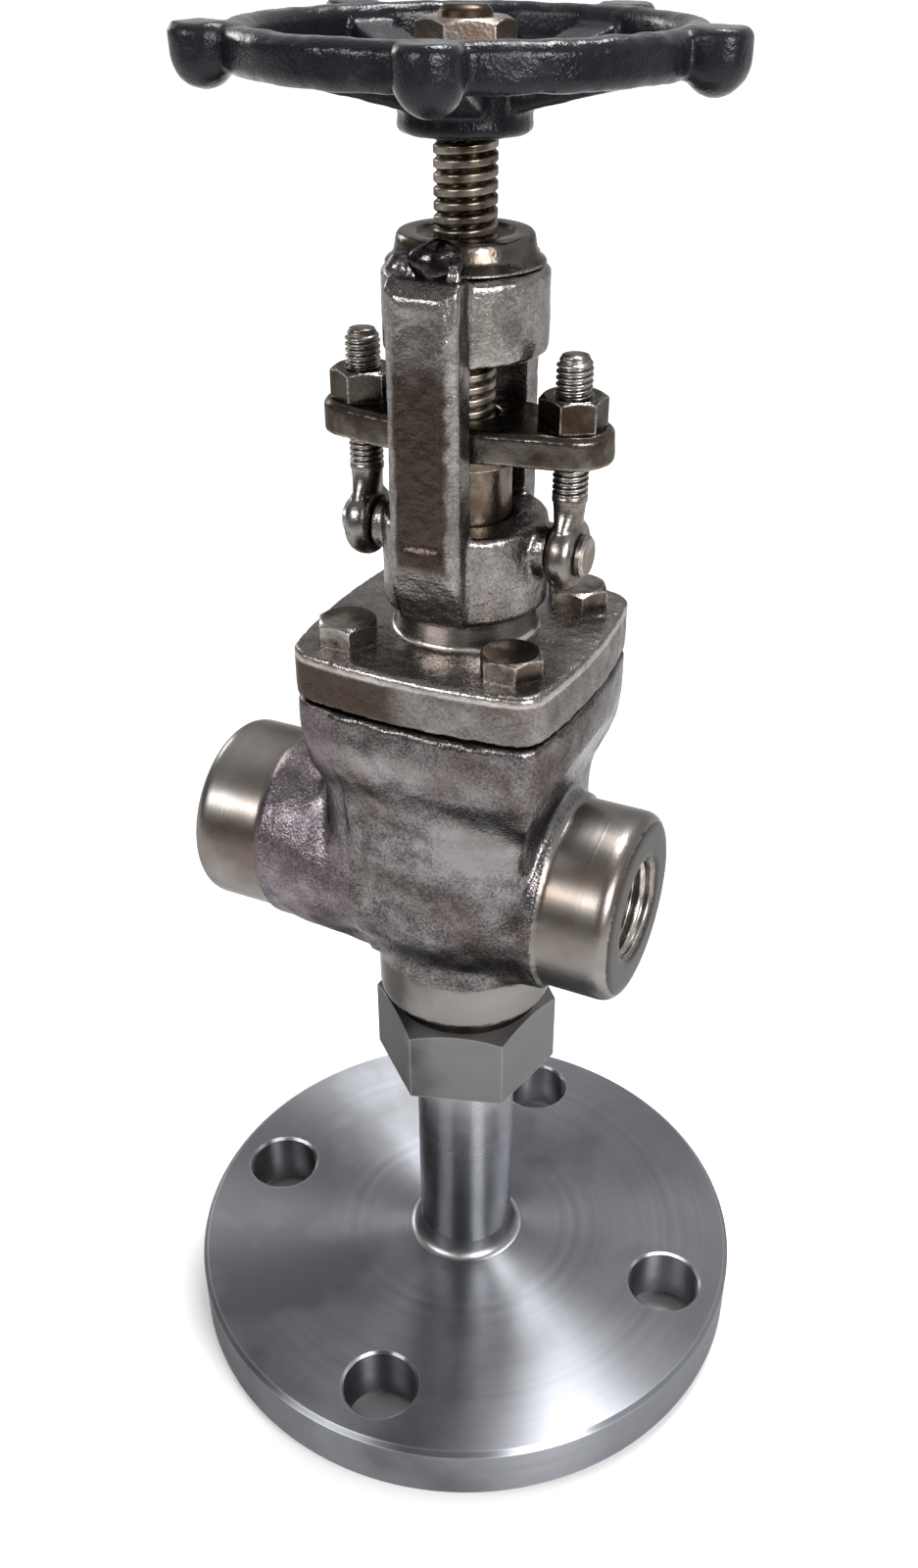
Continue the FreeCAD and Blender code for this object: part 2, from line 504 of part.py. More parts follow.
def make_bonnet():
    """The forged bonnet: square flange, stuffing box, pin bosses, two yoke arms and the ring."""
    body = new_body("bonnet_yoke", BONNET)
    flange = new_sketch(body, "flange_plan", "XY_Plane")
    pillow_outline(flange, "bonnet_half", "bonnet_side", "bonnet_corner")
    pad(body, "flange", flange, "bonnet_thick")
    bevel_edges(body, "flange_rim", "block_edge",
                lambda edge, middle: abs(middle.z - value("bonnet_thick")) < 0.01)
    neck_top = "(bonnet_thick + bonnet_neck_high)"
    turned(body, "stuffing_box", [[
        ("0", "-tongue_high"), ("tongue_od / 2", "-tongue_high"), ("tongue_od / 2", "tongue_root"),
        ("bonnet_neck_od / 2", "tongue_root"), ("bonnet_neck_od / 2", neck_top),
        ("box_od / 2 - box_foot_edge", neck_top), ("box_od / 2", f"{neck_top} + box_foot_edge"),
        ("box_od / 2", "box_rise - box_edge"), ("box_od / 2 - box_edge", "box_rise"), ("0", "box_rise"),
    ]])
    boss = new_sketch(body, "pin_boss_plan", "YZ_Plane")
    circle(boss, "0", "eye_rise", "pin_boss_od / 2")
    pad(body, "pin_bosses", boss, "2 * (eye_span - eye_thick / 2 - fit)", both_ways=True)
    arms = new_sketch(body, "arm_plan", "XY_Plane", neck_top)
    for side in ("-", ""):
        polygon(arms, [
            (x, side + "1 * " + y) for x, y in (
                ("-arm_width / 2", "arm_inner"), ("arm_width / 2", "arm_inner"),
                ("arm_width / 2", "(arm_outer - arm_bevel_y)"),
                ("arm_width / 2 - arm_bevel_x", "arm_outer"),
                ("arm_bevel_x - arm_width / 2", "arm_outer"),
                ("-arm_width / 2", "(arm_outer - arm_bevel_y)"))
        ])
    pad(body, "arms", arms, f"ring_top - {neck_top}")
    foot = new_sketch(body, "arm_foot_profile", "YZ_Plane")
    for side in ("-", ""):
        polygon(foot, [
            (f"{side}1 * arm_foot_out", neck_top), (f"{side}1 * (arm_outer + cut_over)", neck_top),
            (f"{side}1 * (arm_outer + cut_over)", "arm_foot_start"),
            (f"{side}1 * arm_outer", "arm_foot_start"),
        ])
        polygon(foot, [
            (f"{side}1 * arm_outer", "arm_top_start"), (f"{side}1 * (arm_outer + cut_over)", "arm_top_start"),
            (f"{side}1 * (arm_outer + cut_over)", "ring_top"), (f"{side}1 * arm_top_out", "ring_top"),
        ])
    pocket(body, "arm_ends", foot, "arm_width + 2 * cut_over", both_ways=True)
    turned(body, "yoke_ring", [[
        ("bush_od / 2 - cut_over", "ring_low"), ("ring_od / 2 - ring_foot_edge", "ring_low"),
        ("ring_od / 2", "ring_low + ring_foot_edge"), ("ring_od / 2", "ring_top - ring_edge"),
        ("ring_od / 2 - ring_edge", "ring_top"), ("bush_od / 2 - cut_over", "ring_top"),
    ]])
    turned(body, "bores", [[
        ("0", "-tongue_high"), ("backseat_od / 2 + fit", "-tongue_high"),
        ("backseat_od / 2 + fit", "backseat_high - tongue_high"),
        ("stem_od / 2 + stem_gap", "backseat_high - tongue_high"), ("stem_od / 2 + stem_gap", "box_floor"),
        ("box_bore / 2", "box_floor"), ("box_bore / 2", "box_rise"), ("0", "box_rise"),
    ], [
        ("0", "ring_low - cut_over"), ("bush_od / 2 + fit", "ring_low - cut_over"),
        ("bush_od / 2 + fit", "ring_top + cut_over"), ("0", "ring_top + cut_over"),
    ]], cut=True)
    bolts = new_sketch(body, "bolt_hole_plan", "XY_Plane", "bonnet_thick")
    for x in ("bolt_span_x", "-bolt_span_x"):
        for y in ("bolt_span_y", "-bolt_span_y"):
            circle(bolts, x, y, "(bolt_od + bolt_clearance) / 2")
    pocket(body, "bolt_holes", bolts, "bonnet_thick")
    face = "(eye_span - eye_thick / 2 - fit)"
    for name, lift, forward in (("right_pin_hole", face, False), ("left_pin_hole", f"-{face}", True)):
        drill = new_sketch(body, name + "_plan", "YZ_Plane", lift)
        circle(drill, "0", "eye_rise", "eye_pin_od / 2 + fit")
        pocket(body, name, drill, "pin_depth + pin_end_gap", forward=forward)
    for name, lift, forward in (("back_panel", "-arm_outer", True), ("front_panel", "arm_outer", False)):
        panel = new_sketch(body, name + "_plan", "XZ_Plane", lift)
        polygon(panel, [
            ("-panel_width / 2", "panel_low"), ("panel_width / 2", "panel_low"),
            ("panel_width / 2", "panel_high"), ("-panel_width / 2", "panel_high"),
        ])
        pocket(body, name, panel, "panel_deep", forward=forward)
    return body


def primitive(kind, name, sizes_given, x="0", y="0", z="0"):
    solid = doc.addObject(kind, name)
    for size, expression in sizes_given.items():
        solid.setExpression(size, named(expression))
    for axis, expression in (("x", x), ("y", y), ("z", z)):
        solid.setExpression(f"Placement.Base.{axis}", named(expression))
    return solid


def make_bonnet_bolts():
    """Four hexagon bolts, one in each corner of the square flange, as separate solids."""
    seat = f"{BONNET} + bonnet_thick"
    bolts = []
    for number, (x, y) in enumerate((("", ""), ("-", ""), ("-", "-"), ("", "-")), start=1):
        place = {"x": f"{x}1 * bolt_span_x", "y": f"{y}1 * bolt_span_y"}
        shank = primitive("Part::Cylinder", f"bolt_{number}_shank", {
            "Radius": "bolt_od / 2", "Height": "bolt_length + bolt_root"}, z=f"{seat} - bolt_length", **place)
        prism = doc.addObject("Part::Prism", f"bolt_{number}_prism")
        prism.Polygon = 6
        prism.setExpression("Circumradius", named("bolt_flats / sqrt(3)"))
        prism.setExpression("Height", named("bolt_head"))
        for axis, expression in {**place, "z": seat}.items():
            prism.setExpression(f"Placement.Base.{axis}", named(expression))
        crown = primitive("Part::Cone", f"bolt_{number}_crown", {
            "Radius1": "bolt_flats * crown_share / 2 + bolt_head / tan(crown_angle)",
            "Radius2": "bolt_flats * crown_share / 2",
            "Height": "bolt_head"}, z=seat, **place)
        head = doc.addObject("Part::Common", f"bolt_{number}_head")
        head.Base = prism
        head.Tool = crown
        bolt = doc.addObject("Part::Fuse", f"bolt_{number}")
        bolt.Base = head
        bolt.Tool = shank
        bolts.append(bolt)
    group = doc.addObject("Part::Compound", "bonnet_bolts")
    group.Label = "bonnet_bolts"
    group.Links = bolts


def make_gasket():
    return ring_piece("bonnet_gasket", f"{BONNET} - tongue_high - gasket_thick",
                      "gasket_bore / 2", "tongue_od / 2", "gasket_thick")


def make_backseat_bush():
    body = new_body("backseat_bush", BACKSEAT_LOW)
    turned(body, "bush", [[
        ("stem_od / 2 + stem_running + backseat_cone", "0"), ("backseat_od / 2", "0"),
        ("backseat_od / 2", "backseat_high - fit"),
        ("stem_od / 2 + stem_running", "backseat_high - fit"),
        ("stem_od / 2 + stem_running", "backseat_cone"),
    ]])
    return body


def make_packing():
    ring_piece("packing_washer", f"{BONNET} + box_floor", "stem_od / 2 + stem_running",
               "box_bore / 2 - fit", "washer_high")
    body = new_body("packing_rings", f"{BONNET} + box_floor + washer_high")
    inner, outer = "stem_od / 2 + fit", "box_bore / 2 - fit"
    groove, pitch = "packing_groove", "(packing_high / packing_rings)"
    count = round(value("packing_rings"))
    points = [(inner, "0"), (outer, "0")]
    for ring in range(1, count):
        points += [(outer, f"{ring} * {pitch} - {groove}"), (f"{outer} - {groove}", f"{ring} * {pitch}"),
                   (outer, f"{ring} * {pitch} + {groove}")]
    points += [(outer, "packing_high"), (inner, "packing_high")]
    turned(body, "rings", [points])


def make_gland():
    foot = "(box_floor + washer_high + packing_high)"
    follower = new_body("gland_follower", f"{BONNET} + {foot}")
    top = f"(gland_rise - {foot})"
    turned(follower, "sleeve", [[
        ("stem_od / 2 + stem_running", "0"), ("box_bore / 2 - stem_running", "0"),
        ("box_bore / 2 - stem_running", f"{top} - collar_thick"),
        ("follower_collar / 2", f"{top} - collar_thick"), ("follower_collar / 2", top),
        ("stem_od / 2 + stem_running", top),
    ]])
    flange = new_body("gland_flange", GLAND)
    plan = new_sketch(flange, "middle_plan", "XY_Plane")
    circle(plan, "0", "0", "gland_middle")
    pad(flange, "middle", plan, "gland_thick")
    for name, side in (("right", ""), ("left", "-")):
        ear = new_sketch(flange, name + "_ear_plan", "XY_Plane")
        circle(ear, f"{side}1 * eye_span", "0", "gland_end")
        pad(flange, name + "_ear", ear, "gland_thick")
    lean = "((gland_middle - gland_end) / eye_span)"
    side = f"sqrt(1 - {lean} * {lean})"
    web = new_sketch(flange, "web_plan", "XY_Plane")
    polygon(web, [
        (f"eye_span + gland_end * {lean}", f"-1 * gland_end * {side}"),
        (f"eye_span + gland_end * {lean}", f"gland_end * {side}"),
        (f"gland_middle * {lean}", f"gland_middle * {side}"),
        (f"-1 * gland_middle * {lean}", f"gland_middle * {side}"),
        (f"-1 * eye_span - gland_end * {lean}", f"gland_end * {side}"),
        (f"-1 * eye_span - gland_end * {lean}", f"-1 * gland_end * {side}"),
        (f"-1 * gland_middle * {lean}", f"-1 * gland_middle * {side}"),
        (f"gland_middle * {lean}", f"-1 * gland_middle * {side}"),
    ])
    pad(flange, "web", web, "gland_thick")
    holes = new_sketch(flange, "hole_plan", "XY_Plane", "gland_thick")
    circle(holes, "0", "0", "stem_od / 2 + gland_stem_gap")
    for side in ("", "-"):
        circle(holes, f"{side}1 * eye_span", "0", "(eyebolt_od + bolt_clearance) / 2")
    pocket(flange, "holes", holes, "gland_thick")
    doc.recompute()
    bevel_edges(flange, "rim", "gland_edge", lambda edge, middle: (
        abs(middle.z - value("gland_thick")) < 0.01 and abs(middle.y) > 2
        and not is_circle(edge, value("stem_od / 2 + gland_stem_gap"))
        and not is_circle(edge, value("(eyebolt_od + bolt_clearance) / 2"))))


def make_eyebolts():
    """Each eye hangs on a pin in the bonnet's side boss; its nut pulls the gland flange down."""
    for name, sign in (("right", ""), ("left", "-")):
        bolt = new_body(f"eyebolt_{name}", f"{BONNET} + eye_rise")
        bolt.setExpression("Placement.Base.x", named(f"{sign}1 * eye_span"))
        eye = new_sketch(bolt, "eye_plan", "YZ_Plane")
        circle(eye, "0", "0", "eye_od / 2")
        pad(bolt, "eye", eye, "eye_thick", both_ways=True)
        turned(bolt, "shank", [[
            ("0", "0"), ("eye_thick / 2", "0"), ("eye_thick / 2", "eye_od / 2 - eye_root"),
            ("eyebolt_od / 2", "eye_od / 2 + eye_flare"),
            ("eyebolt_od / 2", "eyebolt_top - eye_rise - thread_bevel"),
            ("eyebolt_od / 2 - thread_bevel", "eyebolt_top - eye_rise"), ("0", "eyebolt_top - eye_rise"),
        ]])
        hole = new_sketch(bolt, "hole_plan", "YZ_Plane")
        circle(hole, "0", "0", "eye_pin_od / 2 + fit")
        pocket(bolt, "hole", hole, "eye_thick + 2 * cut_over", both_ways=True)
        pin = new_body(f"eyebolt_pin_{name}", f"{BONNET} + eye_rise")
        outward = 90 if name == "right" else -90
        pin.Placement.Rotation = FreeCAD.Rotation(FreeCAD.Vector(0, 1, 0), outward)
        inner_end = f"{sign}1 * (eye_span - eye_thick / 2 - fit - pin_depth)"
        pin.setExpression("Placement.Base.x", named(inner_end))
        grip = "(pin_depth + fit + eye_thick + fit)"
        turned(pin, "rivet", [[
            ("0", "0"), ("eye_pin_od / 2", "0"), ("eye_pin_od / 2", grip), ("pin_head_od / 2", grip),
            ("pin_head_od / 2", f"{grip} + pin_head_high - pin_head_edge"),
            ("pin_head_od / 2 - pin_head_edge", f"{grip} + pin_head_high"), ("0", f"{grip} + pin_head_high"),
        ]])
        nut = new_body(f"gland_nut_{name}", f"{GLAND} + gland_thick")
        nut.setExpression("Placement.Base.x", named(f"{sign}1 * eye_span"))
        plan = new_sketch(nut, "hexagon_plan", "XY_Plane")
        polygon(plan, hexagon("gland_nut_flats"))
        pad(nut, "hexagon", plan, "gland_nut_high")
        trim_hexagon(nut, "upper_corners", "gland_nut_flats", "gland_nut_high")
        turned(nut, "thread_bore", [[
            ("0", "0"), ("eyebolt_od / 2 + stem_running", "0"),
            ("eyebolt_od / 2 + stem_running", "gland_nut_high"), ("0", "gland_nut_high"),
        ]], cut=True)


def make_yoke_bush():
    level = "(ring_top - ring_low + bush_stand)"
    body = new_body("yoke_bush", f"{BONNET} + ring_low - bush_stand")
    bore = "(stem_od / 2 + stem_running)"
    turned(body, "bush", [[
        (bore, "0"), ("bush_od / 2", "0"), ("bush_od / 2", level), ("collar_od / 2", level),
        ("collar_od / 2", f"{level} + collar_plain"), ("collar_top_od / 2", f"{level} + collar_high"),
        (f"{bore} + bush_edge", f"{level} + collar_high"), (bore, f"{level} + collar_high - bush_edge"),
    ]])
    turn(body, "270 + screw_turn")
    drill = new_sketch(body, "screw_hole_plan", "YZ_Plane", "collar_od / 2")
    circle(drill, "0", f"{level} + collar_plain", "screw_od / 2 + fit")
    pocket(body, "screw_hole", drill, "screw_length")
    screw = new_body("bush_set_screw", f"{BONNET} + ring_top + collar_plain")
    turn(screw, "270 + screw_turn")
    plan = new_sketch(screw, "screw_plan", "YZ_Plane", "collar_od / 2 - screw_length + fit")
    circle(plan, "0", "0", "screw_od / 2")
    pad(screw, "grub", plan, "screw_length - screw_sunk")
    recess = new_sketch(screw, "socket_plan", "YZ_Plane", "collar_od / 2 - screw_sunk + fit")
    circle(recess, "0", "0", "screw_socket_od / 2")
    pocket(screw, "socket", recess, "screw_socket_deep")


def make_stem():
    """The stem turns in the disc, seals backwards on the bush and screws through the yoke bush."""
    foot = f"({DISC_LOW} + disc_height - retainer_high - stem_button_high - button_end_play)"
    body = new_body("stem", foot)
    neck_top = "(stem_button_high + stem_neck_high)"
    flange_top = f"({BACKSEAT_LOW} - lift_left - fit - {foot} + backseat_cone)"
    seat = f"({flange_top} - backseat_cone)"
    turned(body, "spindle", [[
        ("0", "0"), ("stem_button_od / 2", "0"), ("stem_button_od / 2", "stem_button_high"),
        ("stem_neck_od / 2", "stem_button_high"), ("stem_neck_od / 2", f"{neck_top} + stem_foot_gap"),
        ("stem_od / 2", f"{neck_top} + stem_foot_gap + stem_foot_bevel"),
        ("stem_od / 2", f"{seat} - stem_flange_high"),
        ("stem_flange_od / 2", f"{seat} - stem_flange_high"),
        ("stem_flange_od / 2", seat), ("stem_od / 2", f"{flange_top} - stem_cone_trim"),
        ("stem_od / 2", f"{WHEEL} - {foot}"), ("stem_end_od / 2", f"{WHEEL} - {foot}"),
        ("stem_end_od / 2", f"{STEM_TOP} - thread_bevel - {foot}"),
        ("stem_end_od / 2 - thread_bevel", f"{STEM_TOP} - {foot}"),
        ("0", f"{STEM_TOP} - {foot}"),
    ]])
    return body


def make_handwheel():
    """Five spokes rise from the hub to the rim, and a knob stands out of the rim at each."""
    body = new_body("handwheel", WHEEL)
    turned(body, "hub", [[
        ("stem_end_od / 2 + fit", "0"), ("hub_od / 2 - hub_edge", "0"), ("hub_od / 2", "hub_edge"),
        ("hub_od / 2 - hub_taper", "hub_high"), ("stem_end_od / 2 + fit", "hub_high"),
    ]])
    spoke = new_sketch(body, "spoke_profile", "XZ_Plane")
    reach = "(rim_od / 2 - rim_width / 2)"
    polygon(spoke, [
        ("hub_od / 2 - spoke_root", "spoke_low"), (reach, "rim_low + spoke_inset"),
        (reach, "rim_low + spoke_inset + spoke_thick"),
        ("hub_od / 2 - spoke_root", "spoke_low + spoke_thick"),
    ])
    arm = pad(body, "spoke", spoke, "spoke_width", both_ways=True)
    around(body, "spokes", arm, "lobe_count")
    turned(body, "rim", [[
        ("rim_od / 2 - rim_width + rim_edge", "rim_low"), ("rim_od / 2 - rim_edge", "rim_low"),
        ("rim_od / 2", "rim_low + rim_edge"), ("rim_od / 2", "rim_low + rim_high - rim_edge"),
        ("rim_od / 2 - rim_edge", "rim_low + rim_high"),
        ("rim_od / 2 - rim_width + rim_edge", "rim_low + rim_high"),
        ("rim_od / 2 - rim_width", "rim_low + rim_high - rim_edge"),
        ("rim_od / 2 - rim_width", "rim_low + rim_edge"),
    ]])
    profile = new_sketch(body, "lobe_profile", "XZ_Plane")
    profile.setExpression("AttachmentOffset.Base.x", named("lobe_circle / 2"))
    profile.setExpression("AttachmentOffset.Base.y", named("lobe_low"))
    domed_outline(profile, "lobe_od / 2", "lobe_high", "lobe_edge")
    lobe = body.newObject("PartDesign::Revolution", "lobe")
    lobe.Profile = profile
    lobe.ReferenceAxis = (profile, ["V_Axis"])
    lobe.Angle = 360
    around(body, "lobes", lobe, "lobe_count")
    neck = new_sketch(body, "lobe_neck_plan", "XY_Plane", "rim_low")
    polygon(neck, [
        ("rim_od / 2 - rim_width / 2", "-lobe_neck / 2"), ("lobe_circle / 2", "-lobe_neck / 2"),
        ("lobe_circle / 2", "lobe_neck / 2"), ("rim_od / 2 - rim_width / 2", "lobe_neck / 2"),
    ])
    bridge = pad(body, "lobe_neck", neck, "rim_high")
    around(body, "lobe_necks", bridge, "lobe_count")
    ring_piece("handwheel_washer", f"{WHEEL} + hub_high", "stem_end_od / 2 + fit",
               "wheel_washer_od / 2", "wheel_washer_high")
    nut = new_body("handwheel_nut", f"{WHEEL} + hub_high + wheel_washer_high")
    top = new_sketch(nut, "hexagon_plan", "XY_Plane")
    polygon(top, hexagon("wheel_nut_flats"))
    pad(nut, "hexagon", top, "wheel_nut_high")
    trim_hexagon(nut, "upper_corners", "wheel_nut_flats", "wheel_nut_high")
    turned(nut, "thread_bore", [[
        ("0", "0"), ("stem_end_od / 2 + fit", "0"), ("stem_end_od / 2 + fit", "wheel_nut_high"),
        ("0", "wheel_nut_high"),
    ]], cut=True)


def build_all():
    make_flange()
    make_pipe()
    make_welds()
    make_adapter()
    make_valve_body()
    make_seat_and_disc()
    make_gasket()
    make_bonnet()
    make_bonnet_bolts()
    make_backseat_bush()
    make_packing()
    make_gland()
    make_eyebolts()
    make_yoke_bush()
    make_stem()
    make_handwheel()


build_all()
doc.recompute()
for item in doc.Objects:
    if "Invalid" in item.State or "Error" in item.State:
        raise RuntimeError(f"{item.Name} failed to build")
pieces = [item for item in doc.Objects
          if item.TypeId == "PartDesign::Body" or item.TypeId == "Part::Compound"]
os.makedirs("parts", exist_ok=True)
for piece in pieces:
    if piece.Shape.isNull() or not piece.Shape.isValid():
        raise RuntimeError(f"{piece.Label} has no sound shape")
    piece.Shape.exportStep(f"parts/{piece.Label}.step")
    box = piece.Shape.BoundBox
    print(piece.Label, len(piece.Shape.Solids), "solid(s),", round(piece.Shape.Volume), "mm3,",
          [round(v, 1) for v in (box.XMin, box.XMax, box.YMin, box.YMax, box.ZMin, box.ZMax)])
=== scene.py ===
import math

import bmesh
import bpy
import numpy as np
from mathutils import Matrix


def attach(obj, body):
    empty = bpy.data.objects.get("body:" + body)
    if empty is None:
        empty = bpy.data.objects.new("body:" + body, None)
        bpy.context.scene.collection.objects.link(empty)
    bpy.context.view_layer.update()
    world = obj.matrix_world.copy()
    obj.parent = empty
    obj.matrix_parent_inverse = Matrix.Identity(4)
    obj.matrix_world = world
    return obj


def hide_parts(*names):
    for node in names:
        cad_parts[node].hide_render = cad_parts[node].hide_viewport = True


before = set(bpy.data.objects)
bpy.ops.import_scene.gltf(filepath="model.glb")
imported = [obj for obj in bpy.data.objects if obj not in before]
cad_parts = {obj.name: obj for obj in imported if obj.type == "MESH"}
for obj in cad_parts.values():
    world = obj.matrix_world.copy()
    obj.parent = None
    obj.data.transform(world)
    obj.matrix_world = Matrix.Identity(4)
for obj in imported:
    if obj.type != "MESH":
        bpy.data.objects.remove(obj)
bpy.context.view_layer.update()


# The bottom flange is a thick disc of stainless bar, faced on a lathe and drilled for four
# bolts. The facing tool leaves fine rings, so the light falls on its face in two wedges.
def add(tree, kind, sockets=None, **settings):
    """A shader node. Each named socket takes a plain value or another node's output."""
    made = tree.nodes.new(kind if kind.startswith("Node") else "ShaderNode" + kind)
    for key, setting in settings.items():
        setattr(made, key, setting)
    for key, given in (sockets or {}).items():
        if isinstance(given, bpy.types.NodeSocket):
            tree.links.new(given, made.inputs[key])
        else:
            made.inputs[key].default_value = given
    return made


def sum_of(tree, operation, *values):
    """One Math node on its values, clamped to nothing."""
    return add(tree, "Math", dict(enumerate(values)), operation=operation).outputs[0]


def spread(tree, value, low, high, start=0.0, end=1.0):
    """The value's range from low to high, laid over start to end and held there outside it."""
    return add(tree, "MapRange", {0: value, 1: low, 2: high, 3: start, 4: end}).outputs[0]


def tint(tree, share, first, second):
    """A colour between two: the first where the share is 0, and the second where it is 1."""
    mixed = add(tree, "Mix", {0: share, 6: first, 7: second}, data_type="RGBA")
    return mixed.outputs[2]


def finish_of(name, colour, roughness, metallic=1.0, **sockets):
    """A new material with its constants set on the Principled shader's own sockets."""
    made = bpy.data.materials.new(name)
    made.use_nodes = True
    shader = made.node_tree.nodes["Principled BSDF"]
    shader.inputs["Base Color"].default_value = (*colour, 1)
    shader.inputs["Roughness"].default_value = roughness
    shader.inputs["Metallic"].default_value = metallic
    if metallic:
        shader.inputs["Specular Tint"].default_value = (0.55, 0.55, 0.55, 1)
    for socket, number in sockets.items():
        shader.inputs[socket.replace("_", " ")].default_value = number
    return made, made.node_tree, shader


def place_of(tree):
    """The point in the part's own frame, in metres."""
    return add(tree, "TexCoord").outputs["Object"]


def from_stem_axis(tree, point):
    """The point's distance from the stem's axis, in metres."""
    level = add(tree, "VectorMath", {0: point, 1: (1, 1, 0)}, operation="MULTIPLY").outputs["Vector"]
    return add(tree, "VectorMath", {0: level}, operation="LENGTH").outputs["Value"]


def scaled(colour, share, most=1.0):
    """A colour made darker or lighter by a share and held under the most, with its alpha."""
    return [min(part * share, most) for part in colour] + [1]


def dress(node_name, material):
    """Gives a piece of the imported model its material."""
    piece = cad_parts[node_name]
    if piece.material_slots:
        piece.material_slots[0].material = material
    else:
        piece.data.materials.append(material)


def group_of(name, inputs, outputs, kind="Float"):
    """An empty shader group with its input sockets, all of one kind, and its output values."""
    group = bpy.data.node_groups.new(name, "ShaderNodeTree")
    for socket in inputs:
        group.interface.new_socket(socket, in_out="INPUT", socket_type="NodeSocket" + kind)
    for socket in outputs:
        group.interface.new_socket(socket, in_out="OUTPUT", socket_type="NodeSocketFloat")
    return group, add(group, "NodeGroupInput").outputs


def make_tool_marks():
    """A shader group: fine lines across one direction, as a lathe or mill leaves them."""
    group, given = group_of("tool_marks", ["Across", "Lines"], ["Height", "Tone"])
    where = sum_of(group, "MULTIPLY", given["Across"], given["Lines"])
    fine = add(group, "TexNoise", {"W": where, "Scale": 1.0, "Detail": 3.0, "Roughness": 0.7},
               noise_dimensions="1D").outputs[0]
    broad = add(group, "TexNoise", {"W": where, "Scale": 0.06, "Detail": 1.0},
                noise_dimensions="1D").outputs[0]
    tone = sum_of(group, "MULTIPLY_ADD", fine, 0.6, sum_of(group, "MULTIPLY", broad, 0.4))
    add(group, "NodeGroupOutput", {"Height": fine, "Tone": tone})
    return group


def make_worn_and_highlit_edges():
    """A shader group: a mask that is 1 on sharp corners, where handling rubs metal bright
    and where a highlight is painted on.
    """
    group, given = group_of("worn_and_highlit_edges", ["Width"], ["Edge"])
    rounded = add(group, "Bevel", {"Radius": given["Width"]}, samples=4).outputs[0]
    flat = add(group, "NewGeometry").outputs["Normal"]
    facing = add(group, "VectorMath", {0: rounded, 1: flat}, operation="DOT_PRODUCT").outputs["Value"]
    add(group, "NodeGroupOutput", {"Edge": spread(group, facing, 0.995, 0.88)})
    return group


tool_marks = make_tool_marks()
worn_and_highlit_edges = make_worn_and_highlit_edges()


def machined(name, colour, roughness, direction, lines, depth, edge=0.0, stain=None, painted_shade_lean=0.0,
             **sockets):
    """Bright machined steel. Direction is the axis across the marks, or ring for a faced disc,
    whose streaks run round the stem's axis. A stain is the colour of an oily film that lies on it
    in patches. The same colour is also painted on as shade, more of it toward minus X by the
    given share for each metre, so the part is darker on that side."""
    made, tree, shader = finish_of(name, colour, roughness, **sockets)
    point = place_of(tree)
    axes = dict(zip("xyz", add(tree, "SeparateXYZ", {0: point}).outputs))
    if direction == "ring":
        up = add(tree, "SeparateXYZ", {0: add(tree, "NewGeometry").outputs["Normal"]}).outputs[2]
        flat = spread(tree, sum_of(tree, "ABSOLUTE", up), 0.6, 0.8)
        across = add(tree, "Mix", {0: flat, 2: axes["z"], 3: from_stem_axis(tree, point)},
                     data_type="FLOAT").outputs[0]
        around = add(tree, "Tangent", direction_type="RADIAL", axis="Z").outputs[0]
        tree.links.new(around, shader.inputs["Tangent"])
    else:
        across = axes[direction]
    marks = add(tree, "Group", {"Across": across, "Lines": lines}, node_tree=tool_marks).outputs
    cloud = add(tree, "TexNoise", {"Vector": point, "Scale": 45.0, "Detail": 3.0}).outputs[0]
    tone = sum_of(tree, "MULTIPLY_ADD", marks["Tone"], 0.5, sum_of(tree, "MULTIPLY", cloud, 0.5))
    worked = tint(tree, spread(tree, tone, 0.3, 0.7), scaled(colour, 0.8), scaled(colour, 1.2))
    if stain:
        # The film's share grows toward minus X: painted shade on that side, over the oily patches.
        stain_and_shade = sum_of(tree, "MULTIPLY_ADD", axes["x"], -painted_shade_lean, cloud)
        worked = tint(tree, spread(tree, stain_and_shade, 0.46, 0.68, 0.0, 0.85), worked, (*stain, 1))
    # Corners are painted lighter: wear, and a painted highlight along the edge.
    if edge:
        wear_and_highlight = add(tree, "Group", {"Width": edge}, node_tree=worn_and_highlit_edges).outputs[0]
        worked = tint(tree, wear_and_highlight, worked, scaled(colour, 1.9, most=0.85))
    tree.links.new(worked, shader.inputs["Base Color"])
    tree.links.new(spread(tree, tone, 0.3, 0.7, roughness * 0.85, roughness * 1.2),
                   shader.inputs["Roughness"])
    bump = add(tree, "Bump", {"Height": marks["Height"], "Distance": depth, "Strength": 0.6})
    tree.links.new(bump.outputs[0], shader.inputs["Normal"])
    return made


# Painted shade: the stain's colour darkens the face a little toward minus X.
turned_face = machined("turned_face", (0.175, 0.18, 0.194), 0.36, "ring", 9000.0, 0.000003,
                       edge=0.0006, stain=(0.098, 0.1, 0.106), painted_shade_lean=4.5,
                       Anisotropic=0.92, Anisotropic_Rotation=0.25)
dress("bottom_flange", turned_face)


# The tail pipe is drawn stainless pipe, skimmed bright. It passes through the flange and is
# welded to it on both sides. The bead outside is dressed smooth, with faint ripples left.
# Painted shade: the stain's colour darkens the pipe toward minus X.
drawn_pipe = machined("drawn_pipe", (0.32, 0.32, 0.335), 0.25, "z", 2600.0, 0.000002,
                      stain=(0.12, 0.12, 0.125), painted_shade_lean=22.0)
dress("tail_pipe", drawn_pipe)


